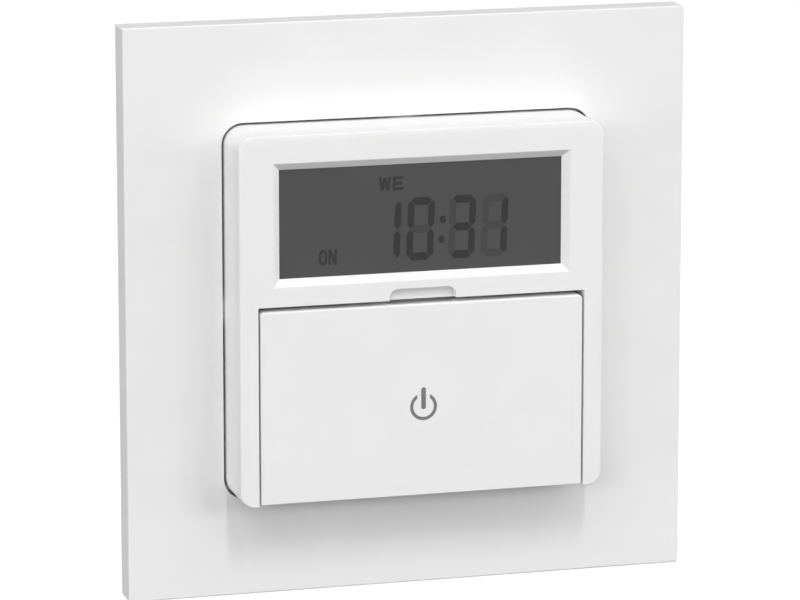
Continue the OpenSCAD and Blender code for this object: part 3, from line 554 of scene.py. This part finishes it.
def build_cover_frame():
    """Square frame with crisp front edges, a window undercut behind its lip, and a rim with lugs."""
    half, outer_r, outer_edge = frame_high.x, 0.32, 0.26
    window_half, window_r, window_edge = MODULE_HALF + 0.4, 3.2, 0.04
    lip, undercut = FRAME_FRONT + 0.9, 0.9
    rim_t, rim_end = 1.9, -1.35
    wall_t, hollow = 2.0, FRAME_FRONT + 1.9
    lug_reach, lug_inset, lug_t, lug_setback = 1.6, 0.3, 0.9, 0.01
    sections = [(half, outer_r, 0)]
    for inset, depth in edge_round(outer_edge)[::-1]:
        sections.append((half - inset, outer_r - inset, FRAME_FRONT + depth))
    window = [(inset, FRAME_FRONT + depth) for inset, depth in edge_round(window_edge)]
    window += [(0, lip), (undercut, lip), (undercut, rim_end), (rim_t, rim_end), (rim_t, hollow)]
    for outward, y in window:
        sections.append((window_half + outward, window_r + outward, y))
    sections += [(half - wall_t, outer_r, y) for y in (hollow, 0)]
    ring = loft([at_depth(rounded_square(w, r), y) for w, r, y in sections], ring_shaped=True)
    low, high = MODULE_HALF - lug_reach, window_half + rim_t - lug_inset
    mesh = join(ring, rim_lugs(low, high, rim_end - lug_t, rim_end - lug_setback))
    make_piece("frame", mesh, "white_plastic", ["cover_frame"])


# Control module


def housing_blank():
    """Outer form of the module: leaning sides, a rounded front edge, and a face that bows at its top."""
    foot_r, face_r, edge = 2.85, 2.2, 0.2
    bow_reach, bow_drop, bow_steps = 1.05, 0.07, 8
    side_share, side_bow = 0.66, 0.1
    face_half, top_lean = MODULE_HALF - 0.12, 0.2
    rings = [
        at_depth(rounded_square(MODULE_HALF, foot_r), module_high.y),
        at_depth(rounded_square(MODULE_HALF, foot_r), FRAME_FRONT),
    ]
    sections = [(inset, side_share * inset, bow_drop + depth) for inset, depth in edge_round(edge)[::-1]]
    for step in range(1, bow_steps + 1):
        share = step / bow_steps
        inset, aside = edge + share * bow_reach, side_share * edge + share * side_bow
        sections.append((inset, aside, bow_drop * (1 - share) ** 3))
    for inset, aside, depth in sections:
        half = face_half - aside
        outline = rounded_outline((-half, -half), (half, face_half - top_lean - inset), face_r - aside)
        rings.append(at_depth(outline, FRONT + depth))
    return loft(rings)


def pocket_cutter(half, top):
    """Opening for the flap, its front edges a little rounded."""
    edge, corner_r, past_panel = 0.03, 0.15, 1.15
    foot = 2 * module_low.z
    sections = [(0, PANEL_FRONT + past_panel)]
    sections += [(inset, FRONT + depth) for inset, depth in edge_round(edge)[::-1]]
    sections.append((edge, FRONT - OVER))
    rings = []
    for wider, y in sections:
        wide = half + wider
        rings.append(at_depth(rounded_outline((-wide, foot), (wide, top + wider), corner_r), y))
    return loft(rings)


def screen_cutter(low, high, recess):
    """Sloping surround of the screen, with a softened rim."""
    slope, rim = 1.05, 0.08
    profile = ((recess, 0), (2 * rim, slope * (1 - 2 * rim)), (rim / 2, slope), (0, slope + rim))
    rings = []
    for depth, extra in [*profile, (-OVER, slope + rim)]:
        outline = rectangle((low[0] - extra, low[1] - extra), (high[0] + extra, high[1] + extra))
        rings.append(at_depth(outline, FRONT + depth))
    return loft(rings)


def scoop_cutter(top):
    """Hollow for a fingertip above the flap."""
    half, height, depth, corner_r = 5.05, 1.74, 0.86, 1.35
    radius = (height**2 + depth**2) / (2 * depth)
    bowl = rod_x((FRONT + depth - radius, top), radius, -half - OVER, half + OVER)
    outline = rounded_outline((-half, top - height), (half, top + height), corner_r)
    return combine(bowl, [prism(outline, FRONT - OVER, FRONT + 2 * depth)], "INTERSECT")


def screen_openings(wall):
    """Window of the screen in the front wall, and the seat of its glass behind."""
    film_margin, seat_play = 0.8, 0.15
    low = (screen_low.x + film_margin, screen_low.z + film_margin)
    high = (screen_high.x - film_margin, screen_high.z - film_margin)
    glass_low, glass_high = box_mm("lcd_front_glass")
    seat = block(
        (glass_low.x - seat_play, screen_low.y, glass_low.z - seat_play),
        (glass_high.x + seat_play, FRONT + wall + OVER, glass_high.z + seat_play),
    )
    return [screen_cutter(low, high, screen_low.y - FRONT), seat]


def fixing_holes(inner, panel_back):
    """Pilot holes of the board screws, and slots in the side walls for the hooks of the back cover."""
    screw_x, screw_z, pilot_r, pilot_depth = 21.85, 3.29, 0.75, 2.25
    hook_z, hook_half, slot_depth = 13, 3.65, 0.95
    slot_front, slot_rear = -3.25, -2.35
    holes = []
    for side in (-1, 1):
        screw = (side * screw_x, screw_z)
        holes.append(rod_y(screw, pilot_r, panel_back - pilot_depth, panel_back + OVER))
        x = side * inner
        for z in (-hook_z, hook_z):
            low = (x - slot_depth, slot_front, z - hook_half)
            high = (x + slot_depth, slot_rear, z + hook_half)
            holes.append(block(low, high))
    return holes


def build_housing():
    """Shell of the control module."""
    wall, panel_t = 1.5, 1.1
    inner, panel_back = MODULE_HALF - wall, PANEL_FRONT + panel_t
    pocket_half, pocket_top, bridge_top = 24.69, 2.2, 4.35
    pin_travel, pin_play = 0.7, 0.05
    pin_slot = obround(PIN_AT, (PIN_AT[0] + pin_travel, PIN_AT[1]), PIN_HOLE_R)
    tools = [
        block((-inner, panel_back, -inner), (inner, OVER, inner)),
        block((-inner, FRONT + wall, bridge_top), (inner, panel_back + OVER, inner)),
        pocket_cutter(pocket_half, pocket_top),
        *screen_openings(wall),
        scoop_cutter(pocket_top),
        loft([at_side(pin_slot, pin_low.x - pin_play), at_side(pin_slot, pin_high.x + pin_play)]),
        *fixing_holes(inner, panel_back),
    ]
    mesh = cut(housing_blank(), tools)
    make_piece("housing", mesh, "white_plastic", ["front_housing"])


# Flap with its standby mark

MARK_AT = (0.1, -13.84)
MARK_DEPTH = 0.06


def mark_outlines(shrink):
    """Broken ring and bar of the standby mark, each drawn in by shrink."""
    outer, inner = 2.05 - shrink, 1.55 + shrink
    opening, bar_half = 0.95 + shrink, 0.365 - shrink
    bar_low, bar_high = -14.25 + bar_half + shrink, -10.95 - bar_half - shrink
    steps = 2 * ROUND_STEPS
    ring = []
    for radius, backwards in ((outer, False), (inner, True)):
        start = math.asin(opening / radius)
        angles = [start + step / steps * (2 * math.pi - 2 * start) for step in range(steps + 1)]
        for angle in reversed(angles) if backwards else angles:
            ring.append((MARK_AT[0] + radius * math.sin(angle), MARK_AT[1] + radius * math.cos(angle)))
    bar = obround((MARK_AT[0], bar_low), (MARK_AT[0], bar_high), bar_half)
    return [ring, bar]


def flap_plate(half, bottom, top):
    """Front plate of the flap, with tight sides."""
    thick, edge, side_share = 1.6, 0.3, 0.2
    top_r, foot_r, rear_edge = 0.7, 0.3, 0.1
    rings = []
    for inset, depth in edge_round(edge):
        aside = inset * side_share
        low, high = (-half + aside, bottom + aside), (half - aside, top - inset)
        outline = rounded_outline(low, high, top_r - inset / 2, foot_r - inset / 2)
        rings.append(at_depth(outline, FRONT + depth))
    back = FRONT + thick
    for inset, y in ((0, back - rear_edge), (rear_edge, back)):
        low, high = (-half + inset, bottom + inset), (half - inset, top - inset)
        rings.append(at_depth(rounded_outline(low, high, top_r - inset, foot_r - inset), y))
    return loft(rings)


def flap_backing(half, top):
    """Barrel round the pin, boss that pushes the plunger, and rim behind the top edge."""
    root = FRONT + 1.4
    barrel_r, barrel_inset = 1.3, 0.02
    boss_r, boss_gap = 2.0, 0.1
    rim_half, rim_h, rim_inset, rim_rear = half - 0.5, 0.8, 0.02, FRONT + 2.55
    boss_at = (0, middle_mm("on_off_plunger")[2])
    plunger_front = box_mm("on_off_plunger")[0].y
    return [
        rod_x(PIN_AT, barrel_r, -half + barrel_inset, half - barrel_inset),
        rod_y(boss_at, boss_r, root, plunger_front - boss_gap),
        block((-rim_half, root, top - rim_h), (rim_half, rim_rear, top - rim_inset)),
    ]


def build_flap():
    """Hinged flap, with a grip in its top edge and grooves for the standby mark."""
    top_drop, foot_drop = 0.34, 0.14
    half, top, bottom = flap_high.x, flap_high.z - top_drop, flap_low.z - foot_drop
    grip_half, grip_lip, grip_foot, grip_rear = 4.85, 0.3, top - 0.14, FRONT + 3 * OVER
    tools = [
        rod_x(PIN_AT, PIN_HOLE_R, -half - OVER, half + OVER),
        block((-grip_half, FRONT + grip_lip, grip_foot), (grip_half, grip_rear, grip_foot + OVER)),
    ]
    tools += [prism(outline, FRONT - OVER, FRONT + MARK_DEPTH) for outline in mark_outlines(0)]
    mesh = cut(join(flap_plate(half, bottom, top), flap_backing(half, top)), tools)
    make_piece("flap_body", mesh, "white_plastic", ["flap"], body="flap")


def build_standby_mark():
    """Print that fills the grooves of the flap."""
    print_gap, sunk, rooted = 0.006, 0.02, 0.01
    front, rear = FRONT + sunk, FRONT + MARK_DEPTH + rooted
    prints = [prism(outline, front, rear) for outline in mark_outlines(print_gap)]
    make_piece("standby_mark", merged(prints), "grey_plastic", body="flap", look="mark_print")


# Display

SIDE_HALF = 0.49
BAR_HALF = 0.59
SEGMENT_GAP = 0.06
DIGIT_CORNER = 0.95
DIGIT_SLANT = 0.04
DIGIT_MID = 12.47
DIGIT_TOP = 16.55
DIGIT_FOOT = 8.39
SEGMENTS_ON = {"0": "abcdef", "1": "bc", "3": "abcdg", "8": "abcdefg"}
DIGITS = (
    # digit shown, its left and right centre lines, digit of all its segments
    ("1", -6.7, -3.59, "1"),
    ("0", -1.64, 1.46, "8"),
    ("3", 4.69, 7.7, "8"),
    ("1", 9.63, 12.6, "8"),
)
COLON_DOTS = ((3.26, 13.68), (3.06, 10.76))
WORDS = (
    # word, left, foot, right, top, width of stroke
    ("WE", -6.41, 18.32, -2.71, 20.38, 0.42),
    ("ON", -15.41, 7.82, -12.71, 10.12, 0.36),
)
LETTER_SHARE = {"W": 1.2}
PRINT_T = 0.02


def slanted(points):
    """Leans display points to the right with height."""
    return [(x + (z - DIGIT_MID) * DIGIT_SLANT, z) for x, z in points]


def end_bar(half_w):
    """Top segment of a digit about the middle of its centre line: mitred ends, cut-off corners."""
    outer = half_w + SIDE_HALF
    mitre = outer - (DIGIT_CORNER + SEGMENT_GAP) / 2
    right = [
        (half_w - SIDE_HALF - SEGMENT_GAP, -BAR_HALF),
        (mitre, BAR_HALF - (DIGIT_CORNER - SEGMENT_GAP) / 2),
        (outer - DIGIT_CORNER, BAR_HALF),
    ]
    return right + [(-x, z) for x, z in reversed(right)]


def middle_bar(half_w):
    """Middle segment: pointed at both ends."""
    tip = half_w - SEGMENT_GAP
    shoulder = tip - BAR_HALF
    return [
        (tip, 0), (shoulder, BAR_HALF), (-shoulder, BAR_HALF),
        (-tip, 0), (-shoulder, -BAR_HALF), (shoulder, -BAR_HALF),
    ]


def side_bar(height):
    """Upper right segment about its middle joint: pointed below, mitred and cut off above."""
    outer = height + BAR_HALF
    mitre = outer - (DIGIT_CORNER + SEGMENT_GAP) / 2
    shoulder = BAR_HALF + SEGMENT_GAP
    return [
        (0, SEGMENT_GAP), (SIDE_HALF, shoulder), (SIDE_HALF, outer - DIGIT_CORNER),
        (SIDE_HALF - (DIGIT_CORNER - SEGMENT_GAP) / 2, mitre),
        (-SIDE_HALF, height - shoulder), (-SIDE_HALF, shoulder),
    ]


def segment(letter, left, right):
    """Outline of one of the seven segments of a digit, between two upright centre lines."""
    middle, half_w = (left + right) / 2, (right - left) / 2
    if letter == "g":
        return [(middle + x, DIGIT_MID + z) for x, z in middle_bar(half_w)]
    if letter in "ad":
        level, upwards = (DIGIT_TOP, 1) if letter == "a" else (DIGIT_FOOT, -1)
        return [(middle + x, level + upwards * z) for x, z in end_bar(half_w)]
    upwards = 1 if letter in "bf" else -1
    aside = 1 if letter in "bc" else -1
    height = DIGIT_TOP - DIGIT_MID if upwards > 0 else DIGIT_MID - DIGIT_FOOT
    return [(middle + aside * (half_w + x), DIGIT_MID + upwards * z) for x, z in side_bar(height)]


def time_outlines():
    """Lit and unlit outlines of the time."""
    dot_w, dot_h, dot_r = 0.45, 0.53, 0.36
    lit, unlit = [], []
    for shown, left, right, possible in DIGITS:
        for letter in SEGMENTS_ON[possible]:
            outline = slanted(segment(letter, left, right))
            (lit if letter in SEGMENTS_ON[shown] else unlit).append(outline)
    for x, z in COLON_DOTS:
        lit.append(rounded_outline((x - dot_w, z - dot_h), (x + dot_w, z + dot_h), dot_r))
    return lit, unlit


# Capitals, each a list of outlines from its lower left corner


def letter_e(width, height, stroke):
    arm, low, high = 0.88 * width, (height - stroke) / 2, (height + stroke) / 2
    return [[
        (0, 0), (width, 0), (width, stroke), (stroke, stroke), (stroke, low), (arm, low), (arm, high),
        (stroke, high), (stroke, height - stroke), (width, height - stroke), (width, height), (0, height),
    ]]


def letter_n(width, height, stroke):
    notch, inner = 2.6 * stroke, width - stroke
    return [[
        (0, 0), (stroke, 0), (stroke, height - notch), (inner, 0), (width, 0),
        (width, height), (inner, height), (inner, notch), (stroke, height), (0, height),
    ]]


def letter_w(width, height, stroke):
    half, middle, peak = stroke / 2, width / 2, 0.94 * height
    near, far = 0.27 * width, 0.73 * width
    notch, crotch = 2.6 * stroke, 2.08 * stroke
    return [[
        (near - half, 0), (near + half, 0), (middle, peak - notch), (far - half, 0), (far + half, 0),
        (width, height), (width - stroke, height), (far, crotch), (middle + half, peak),
        (middle - half, peak), (near, crotch), (stroke, height), (0, height),
    ]]


def chamfered(x0, z0, x1, z1, corner):
    """Rectangle with its corners cut off."""
    return [
        (x0 + corner, z0), (x1 - corner, z0), (x1, z0 + corner), (x1, z1 - corner),
        (x1 - corner, z1), (x0 + corner, z1), (x0, z1 - corner), (x0, z0 + corner),
    ]


def letter_o(width, height, stroke):
    """The one letter with a hole."""
    corner = 0.36 * width
    hole = chamfered(stroke, stroke, width - stroke, height - stroke, corner - 0.4 * stroke)
    return [chamfered(0, 0, width, height, corner), hole]


LETTERS = {"E": letter_e, "N": letter_n, "O": letter_o, "W": letter_w}


def printed(outlines, y):
    """Thin print in front of depth y: one outline, or an outer and an inner one."""
    front = y - PRINT_T
    if len(outlines) == 1:
        return prism(outlines[0], front, y)
    outer, inner = outlines
    corners = ((outer, front), (inner, front), (inner, y), (outer, y))
    return loft([at_depth(outline, depth) for outline, depth in corners], ring_shaped=True)


def word_prints(word, left, foot, right, top, stroke, y):
    """A short word across a given width."""
    gap = 0.55 * stroke
    shares = [LETTER_SHARE.get(letter, 1) for letter in word]
    unit = (right - left - gap * (len(word) - 1)) / sum(shares)
    prints = []
    x = left
    for letter, share in zip(word, shares):
        width = unit * share
        rings = LETTERS[letter](width, top - foot, stroke)
        prints.append(printed([[(x + px, foot + pz) for px, pz in ring] for ring in rings], y))
        x += width + gap
    return prints


def build_display():
    """Polarising film with the time, its unlit segments and two short words."""
    y, corner_r, edge = screen_low.y, 0.3, 0.03
    low, high = (screen_low.x, screen_low.z), (screen_high.x, screen_high.z)
    face = soft_plate(low, high, corner_r, y, screen_high.y, edge, edge)
    make_piece("display_face", face, "screen_film", ["lcd_polariser"])
    lit, unlit = time_outlines()
    groups = (("display_digits", lit, "lit_segment"), ("display_unlit", unlit, "ghost_segment"))
    for name, outlines, kind in groups:
        prints = [printed([outline], y) for outline in outlines]
        make_piece(name, merged(prints), "screen_film", look=kind)
    words = [letter for row in WORDS for letter in word_prints(*row, y)]
    make_piece("display_words", merged(words), "screen_film", look="screen_word")


# Keys behind the flap

SETTING_KEYS = ("menu", "minus", "plus", "ok")
SYMBOL_STROKE = 0.5
KEY_RIM = 0.4
FLANGE_T = 0.6


def symbol_outlines(kind, x, z):
    """Outlines of a key's symbol about its centre."""
    reach, half, spread = 1.3, SYMBOL_STROKE / 2, 0.9
    rows = {"minus": [0], "menu": [-1, 0, 1]}
    if kind in rows:
        levels = [z + row * spread for row in rows[kind]]
        return [rectangle((x - reach, level - half), (x + reach, level + half)) for level in levels]
    if kind == "plus":
        return [[
            (x + half, z + reach), (x - half, z + reach), (x - half, z + half), (x - reach, z + half),
            (x - reach, z - half), (x - half, z - half), (x - half, z - reach), (x + half, z - reach),
            (x + half, z - half), (x + reach, z - half), (x + reach, z + half), (x + half, z + half),
        ]]
    tip = half * math.sqrt(2)
    return [[
        (x - reach, z), (x - reach + tip, z + tip), (x - half, z - reach + half + 2 * tip),
        (x + reach - tip, z + reach), (x + reach, z + reach - tip), (x - half, z - reach + half),
    ]]


def build_setting_key(kind):
    """Key cap with rounded edges, its flange, and the symbol printed on it."""
    node = f"{kind}_key"
    low, high = box_mm(node)
    flange_r, front_edge, small_edge = 0.8, 0.35, 0.05
    cap_low, cap_high = (low.x + KEY_RIM, low.z + KEY_RIM), (high.x - KEY_RIM, high.z - KEY_RIM)
    cap_r, cap_rear, flange_front = (cap_high[1] - cap_low[1]) / 3, high.y - FLANGE_T / 2, high.y - FLANGE_T
    cap = soft_plate(cap_low, cap_high, cap_r, low.y, cap_rear, front_edge, small_edge)
    flange = soft_plate(
        (low.x, low.z), (high.x, high.z), flange_r, flange_front, high.y, small_edge, small_edge
    )
    make_piece(f"{node}_cap", join(cap, [flange]), "key_plastic", [node], body=node)
    x, _, z = middle_mm(node)
    prints = [printed([outline], low.y) for outline in symbol_outlines(kind, x, z)]
    make_piece(f"{node}_symbol", merged(prints), "black_plastic", body=node, look="key_print")


def build_round_button(node, slot, edge):
    """Round button with a rounded front edge and a flange."""
    low, high = box_mm(node)
    x, _, z = middle_mm(node)
    radius = (high.x - low.x) / 2
    pin = button_rod((x, z), radius - KEY_RIM, low.y, high.y - FLANGE_T / 2, edge)
    flange = rod_y((x, z), radius, high.y - FLANGE_T, high.y)
    make_piece(f"{node}_cap", join(pin, [flange]), slot, [node], body=node)


def build_keys():
    for kind in SETTING_KEYS:
        build_setting_key(kind)
    build_round_button("reset_key", "key_plastic", 0.2)
    build_round_button("on_off_plunger", "white_plastic", 0.3)


# Silicone mat under the keys

DOME_H = 1.1
# piece pressing on a dome, its joint, radius of the dome's top
DOMES = [(f"{kind}_key", f"{kind}_press", 2.0) for kind in SETTING_KEYS]
DOMES += [("on_off_plunger", "on_off_push", 2.0), ("reset_key", "reset_press", 1.5)]


def dome_profile(top_r, foot, top):
    """Flared foot, leaning wall and rounded top of a dome, as (radius, y) pairs."""
    flare, edge = 0.6, 0.3
    wall = ((1, 0), (0.9, 0.1), (0.5, 0.25), (0.15, 0.55))
    pairs = [(top_r + out * flare, foot - up * DOME_H) for out, up in wall]
    return pairs + [(top_r - inset, top + depth) for inset, depth in edge_round(edge)[::-1]]


def build_key_mat():
    """Mat on the board, and a dome under each key."""
    low, high = box_mm("keypad_mat")
    corner_r, front_edge, rear_edge, parting = 0.8, 0.12, 0.05, 0.005
    front = low.y + DOME_H
    foot = front - parting
    sheet = soft_plate((low.x, low.z), (high.x, high.z), corner_r, front, high.y, front_edge, rear_edge)
    make_piece("key_mat", sheet, "silicone", ["keypad_mat"])
    for node, joint, top_r in DOMES:
        x, _, z = middle_mm(node)
        mesh = turned_y((x, z), dome_profile(top_r, foot, low.y))
        dome = make_piece(f"{node}_dome", mesh, "silicone")
        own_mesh(dome)


# Rear case

CASE_WALL = 1.5
CASE_BEVEL = 7
CASE_FILLET = 1.2
# shallow field round the wire inlets
FIELD_LOW = (-15, -16.4)
FIELD_HIGH = (15, -7.4)
FIELD_Y = case_high.y - 0.35
NUMERAL_W = 1.3
NUMERALS = (
    # strokes of 1 to 4, each through (across, up) points
    [[(0.2, 1.75), (0.75, 2.2), (0.75, 0)]],
    [[(0.05, 1.7), (0.3, 2.08), (0.68, 2.2), (1.05, 2.08), (1.25, 1.7), (1.1, 1.25), (0.1, 0), (1.3, 0)]],
    [[
        (0.1, 2.2), (1.2, 2.2), (0.6, 1.35), (1.0, 1.22), (1.25, 0.85),
        (1.2, 0.4), (0.85, 0.04), (0.4, 0.04), (0.05, 0.3),
    ]],
    [[(0.3, 2.2), (0, 0.7), (1.35, 0.7)], [(0.95, 1.4), (0.95, 0)]],
)


def case_outline(half, bevel, fillet):
    """Square with cut-off corners, each bend a little rounded."""
    side, steps = half - bevel, 6
    corners = [Vector(point) for point in ((half, side), (side, half), (-side, half), (-half, side))]
    corners += [-corner for corner in corners]
    points = []
    for i, corner in enumerate(corners):
        start = corner + (corners[i - 1] - corner).normalized() * fillet
        end = corner + (corners[(i + 1) % len(corners)] - corner).normalized() * fillet
        for step in range(steps + 1):
            share = step / steps
            points.append(tuple(start.lerp(corner, share).lerp(corner.lerp(end, share), share)))
    return points


def stroke_outline(path, half):
    """Outline of a line drawn through the points of a path, its bends mitred."""
    points = [Vector(point) for point in path]
    last = len(points) - 1
    left, right = [], []
    for i, point in enumerate(points):
        onward = (points[min(i + 1, last)] - points[min(i, last - 1)]).normalized()
        arrived = (points[max(i, 1)] - points[max(i - 1, 0)]).normalized()
        along = (onward + arrived).normalized()
        across = Vector((-along.y, along.x)) * half / along.dot(onward)
        left.append(tuple(point + across))
        right.append(tuple(point - across))
    return left + right[::-1]


def case_blank():
    """Outer form of the case: a little draft, and a rounded rear edge."""
    half, draft, edge = case_high.x, 0.2, 0.8
    rings = [at_depth(case_outline(half, CASE_BEVEL, CASE_FILLET), case_low.y)]
    for inset, depth in edge_round(edge)[::-1]:
        outline = case_outline(half - draft - inset, CASE_BEVEL, CASE_FILLET)
        rings.append(at_depth(outline, case_high.y - depth))
    return loft(rings)


def case_supports(inner, floor):
    """A rib on each side wall and a screw post in each corner, and the holes in the posts."""
    half, front = case_high.x, case_low.y
    rib_t, rib_front, rib_top, rooted = 1.6, 6.1, 6, 0.05
    post_x, post_z, post_r, post_end, post_setback = half - 8, half - 1.6, 2.2, 11, 0.02
    hole_r, hole_end = 1.05, box_mm("case_screws")[1].y + 0.1
    bound = case_outline(half - CASE_WALL / 3, CASE_BEVEL, CASE_FILLET)
    added, taken = [], []
    for side_x in (-1, 1):
        near, far = sorted((side_x * (inner - rib_t), side_x * (inner + rooted)))
        added.append(block((near, rib_front, 0), (far, floor + rooted, rib_top)))
        for side_z in (-1, 1):
            centre = (side_x * post_x, side_z * post_z)
            post = rod_y(centre, post_r, front + post_setback, post_end)
            added.append(combine(post, [prism(bound, front - OVER, case_high.y)], "INTERSECT"))
            taken.append(rod_y(centre, hole_r, front - OVER, hole_end))
    return added, taken


def case_terminals(inner, floor):
    """Raised numbers, and at each terminal the inlet of the wire and the opening for a screwdriver."""
    half, rear = case_high.x, case_high.y
    wire_z, wire_r, funnel_r, funnel_depth = -13.45, 1.4, 2.1, 0.8
    opening_r, mouth_r, mouth_depth, mouth_rim = 2.6, 3.0, 0.5, 0.1
    numeral_foot, stroke_half = -10.35, 0.16
    root_step, top_step = 0.1, 0.05
    inlet = (
        (wire_r, floor - OVER), (wire_r, FIELD_Y - funnel_depth),
        (funnel_r, FIELD_Y), (funnel_r, rear + OVER),
    )
    opening = (
        (opening_r, OVER - inner), (opening_r, mouth_depth - half),
        (mouth_r, mouth_rim - half), (mouth_r, -half - OVER),
    )
    added, taken = [], []
    for number, strokes in enumerate(NUMERALS, 1):
        x, y, _ = middle_mm(f"terminal_screw_{number}")
        taken.append(turned_y((x, wire_z), inlet))
        taken.append(turned_z((x, y), opening))
        # a later stroke starts deeper and ends lower, so that no faces coincide
        for layer, path in enumerate(strokes, 1):
            placed = [(x + NUMERAL_W / 2 - across, numeral_foot + up) for across, up in path]
            outline = stroke_outline(placed, stroke_half)
            added.append(prism(outline, FIELD_Y - root_step * layer, rear - top_step * layer))
    return added, taken


def build_rear_case():
    """Box behind the wall plate, with numbered wire inlets and openings for the terminal screws."""
    inner, floor = case_high.x - CASE_WALL, case_high.y - CASE_WALL
    inner_bevel, inner_fillet, field_r = 6.12, 0.4, 1.2
    hollow = prism(case_outline(inner, inner_bevel, inner_fillet), case_low.y - OVER, floor)
    field = prism(rounded_outline(FIELD_LOW, FIELD_HIGH, field_r), FIELD_Y, case_high.y + OVER)
    supports, screw_holes = case_supports(inner, floor)
    numbers, openings = case_terminals(inner, floor)
    mesh = cut(case_blank(), [hollow, field])
    mesh = cut(join(mesh, supports + numbers), screw_holes + openings)
    make_piece("case_body", mesh, "case_plastic", ["rear_case"])


# Solids that keep their shape

NODE_MATERIALS = {"relay_coil": "wound_copper"}
EDGE_OF_NODE = {"case_cover": 0.2, "support_plate": 0.15, "key_panel": 0.1}
SMALL_EDGE = 0.06
WELD_M = 1e-6


def dress_node(node, material, edge):
    """Gives a solid its material and softened edges; its mesh stays as packed."""
    piece = frame["nodes"][node]
    piece.data.materials.clear()
    piece.data.materials.append(material)
    weld = piece.modifiers.new("weld", "WELD")
    weld.merge_threshold = WELD_M
    soften(piece, edge)
    weight_normals(piece)


def dress_solids():
    for row in frame["record"]["subparts"]:
        node = row["node"]
        if frame["nodes"][node].hide_render:
            continue
        material = MATERIALS[NODE_MATERIALS.get(node, row["material_slot"])]
        dress_node(node, material, EDGE_OF_NODE.get(node, SMALL_EDGE))


# Studio

# strength at which the background is seen, where 1 is white
SEEN_LEVEL = 1.0


def background_flag(nodes, links):
    """One for rays that show the background: from the camera, a reflection or through glass."""
    path = nodes.new("ShaderNodeLightPath")
    seen = path.outputs["Is Camera Ray"]
    for name in ("Is Glossy Ray", "Is Transmission Ray"):
        either = nodes.new("ShaderNodeMath")
        either.operation = "MAXIMUM"
        links.new(seen, either.inputs[0])
        links.new(path.outputs[name], either.inputs[1])
        seen = either.outputs["Value"]
    return seen


def build_world():
    """Faint light from all round for the surfaces; plain white where the background is seen."""
    faint = 0.02
    world = bpy.data.worlds.new("studio")
    bpy.context.scene.world = world
    world.use_nodes = True
    nodes, links = world.node_tree.nodes, world.node_tree.links
    level = nodes.new("ShaderNodeMapRange")
    level.inputs["To Min"].default_value = faint
    level.inputs["To Max"].default_value = SEEN_LEVEL
    links.new(background_flag(nodes, links), level.inputs["Value"])
    background = nodes["Background"]
    background.inputs["Color"].default_value = (1, 1, 1, 1)
    links.new(level.outputs["Result"], background.inputs["Strength"])


def floor_surface():
    """Matt grey in the light of the lamps; plain white where the background is seen."""
    grey, spread, roughness, cloud = (0.4, 0.4, 0.4), 0.025, 0.8, 60.0
    surface = Surface("floor", roughness)
    surface.clouded(grey, spread, cloud)
    surface.set("Emission Color", (1, 1, 1, 1))
    glow = surface.nodes.new("ShaderNodeMath")
    glow.operation = "MULTIPLY"
    glow.inputs[1].default_value = SEEN_LEVEL
    surface.links.new(background_flag(surface.nodes, surface.links), glow.inputs[0])
    surface.links.new(glow.outputs["Value"], surface.shader.inputs["Emission Strength"])
    return surface.material


def build_floor():
    """Floor far below the wall-mounted part."""
    drop, reach, steps = 4.0, 30.0, 64
    mesh = bmesh.new()
    bmesh.ops.create_circle(mesh, cap_ends=True, radius=reach, segments=steps)
    floor = add_object("floor", mesh_data("floor", mesh))
    floor.data.materials.append(floor_surface())
    floor.location.z = -drop


LAMP_DISTANCE = 3.0
STRIP = (0.18, 0.9)
SOFTBOX = (1.6, 1.6)
BANNER = (1.6, 0.6)
REAR_BOX = (0.6, 0.8)
LAMPS = (
    # name, degrees round from the front, degrees up, size, watts
    ("top_strip", 0, 51, STRIP, 21),
    ("top_box", 0, 40, SOFTBOX, 5),
    ("high_box", 0, 88, SOFTBOX, 14),
    ("upper_box", 35, 41, SOFTBOX, 19),
    ("front_box", 35, 15, BANNER, 19.2),
    ("side_box", 70, 6, SOFTBOX, 14.5),
    ("flank_box", 88, 5, SOFTBOX, 10),
    ("low_box", 70, -35, SOFTBOX, 9.5),
    ("rear_box", 172, -8, REAR_BOX, 32),
)


def set_up(name, data, target, around, rise, distance):
    """Puts a lamp or camera round a target, by degrees from the front and up, and aims it there."""
    turn, lift = math.radians(around), math.radians(rise)
    away = Vector((math.sin(turn) * math.cos(lift), -math.cos(turn) * math.cos(lift), math.sin(lift)))
    holder = add_object(name, data)
    holder.location = target + away * distance
    holder.rotation_mode = "QUATERNION"
    holder.rotation_quaternion = (-away).to_track_quat("-Z", "Y")
    return holder


def build_lamp(name, around, rise, size, power):
    """Flat lamp facing the part; size is its width and its height."""
    lamp = bpy.data.lights.new(name, "AREA")
    lamp.shape = "RECTANGLE"
    lamp.size, lamp.size_y = size
    lamp.energy = power
    holder = set_up(name, lamp, Vector((0, 0, 0)), around, rise, LAMP_DISTANCE)
    # lamps behind the part stay out of reflections
    holder.visible_glossy = abs(around) < 90


def build_lamps():
    """Lamps over the middle, and pairs of lamps on both sides."""
    for name, around, *rest in LAMPS:
        if around == 0:
            build_lamp(name, around, *rest)
            continue
        for side, word in ((-1, "left"), (1, "right")):
            build_lamp(f"{name}_{word}", side * around, *rest)


def build_camera():
    """Camera at the photograph's angle."""
    around, rise, distance = -15.83, 11.77, 688.3
    target = Vector((-1.181, -4.62, 0.516))
    data = bpy.data.cameras.new("camera")
    data.sensor_width = 36
    data.lens = 210.52
    data.clip_start = 0.05
    data.clip_end = 50
    camera = set_up("camera", data, target * MM, around, rise, distance * MM)
    bpy.context.scene.camera = camera


def main():
    bpy.context.scene.view_settings.view_transform = "Standard"
    build_cover_frame()
    build_housing()
    build_flap()
    build_standby_mark()
    build_display()
    build_keys()
    build_key_mat()
    build_rear_case()
    dress_solids()
    build_world()
    build_floor()
    build_lamps()
    build_camera()


main()
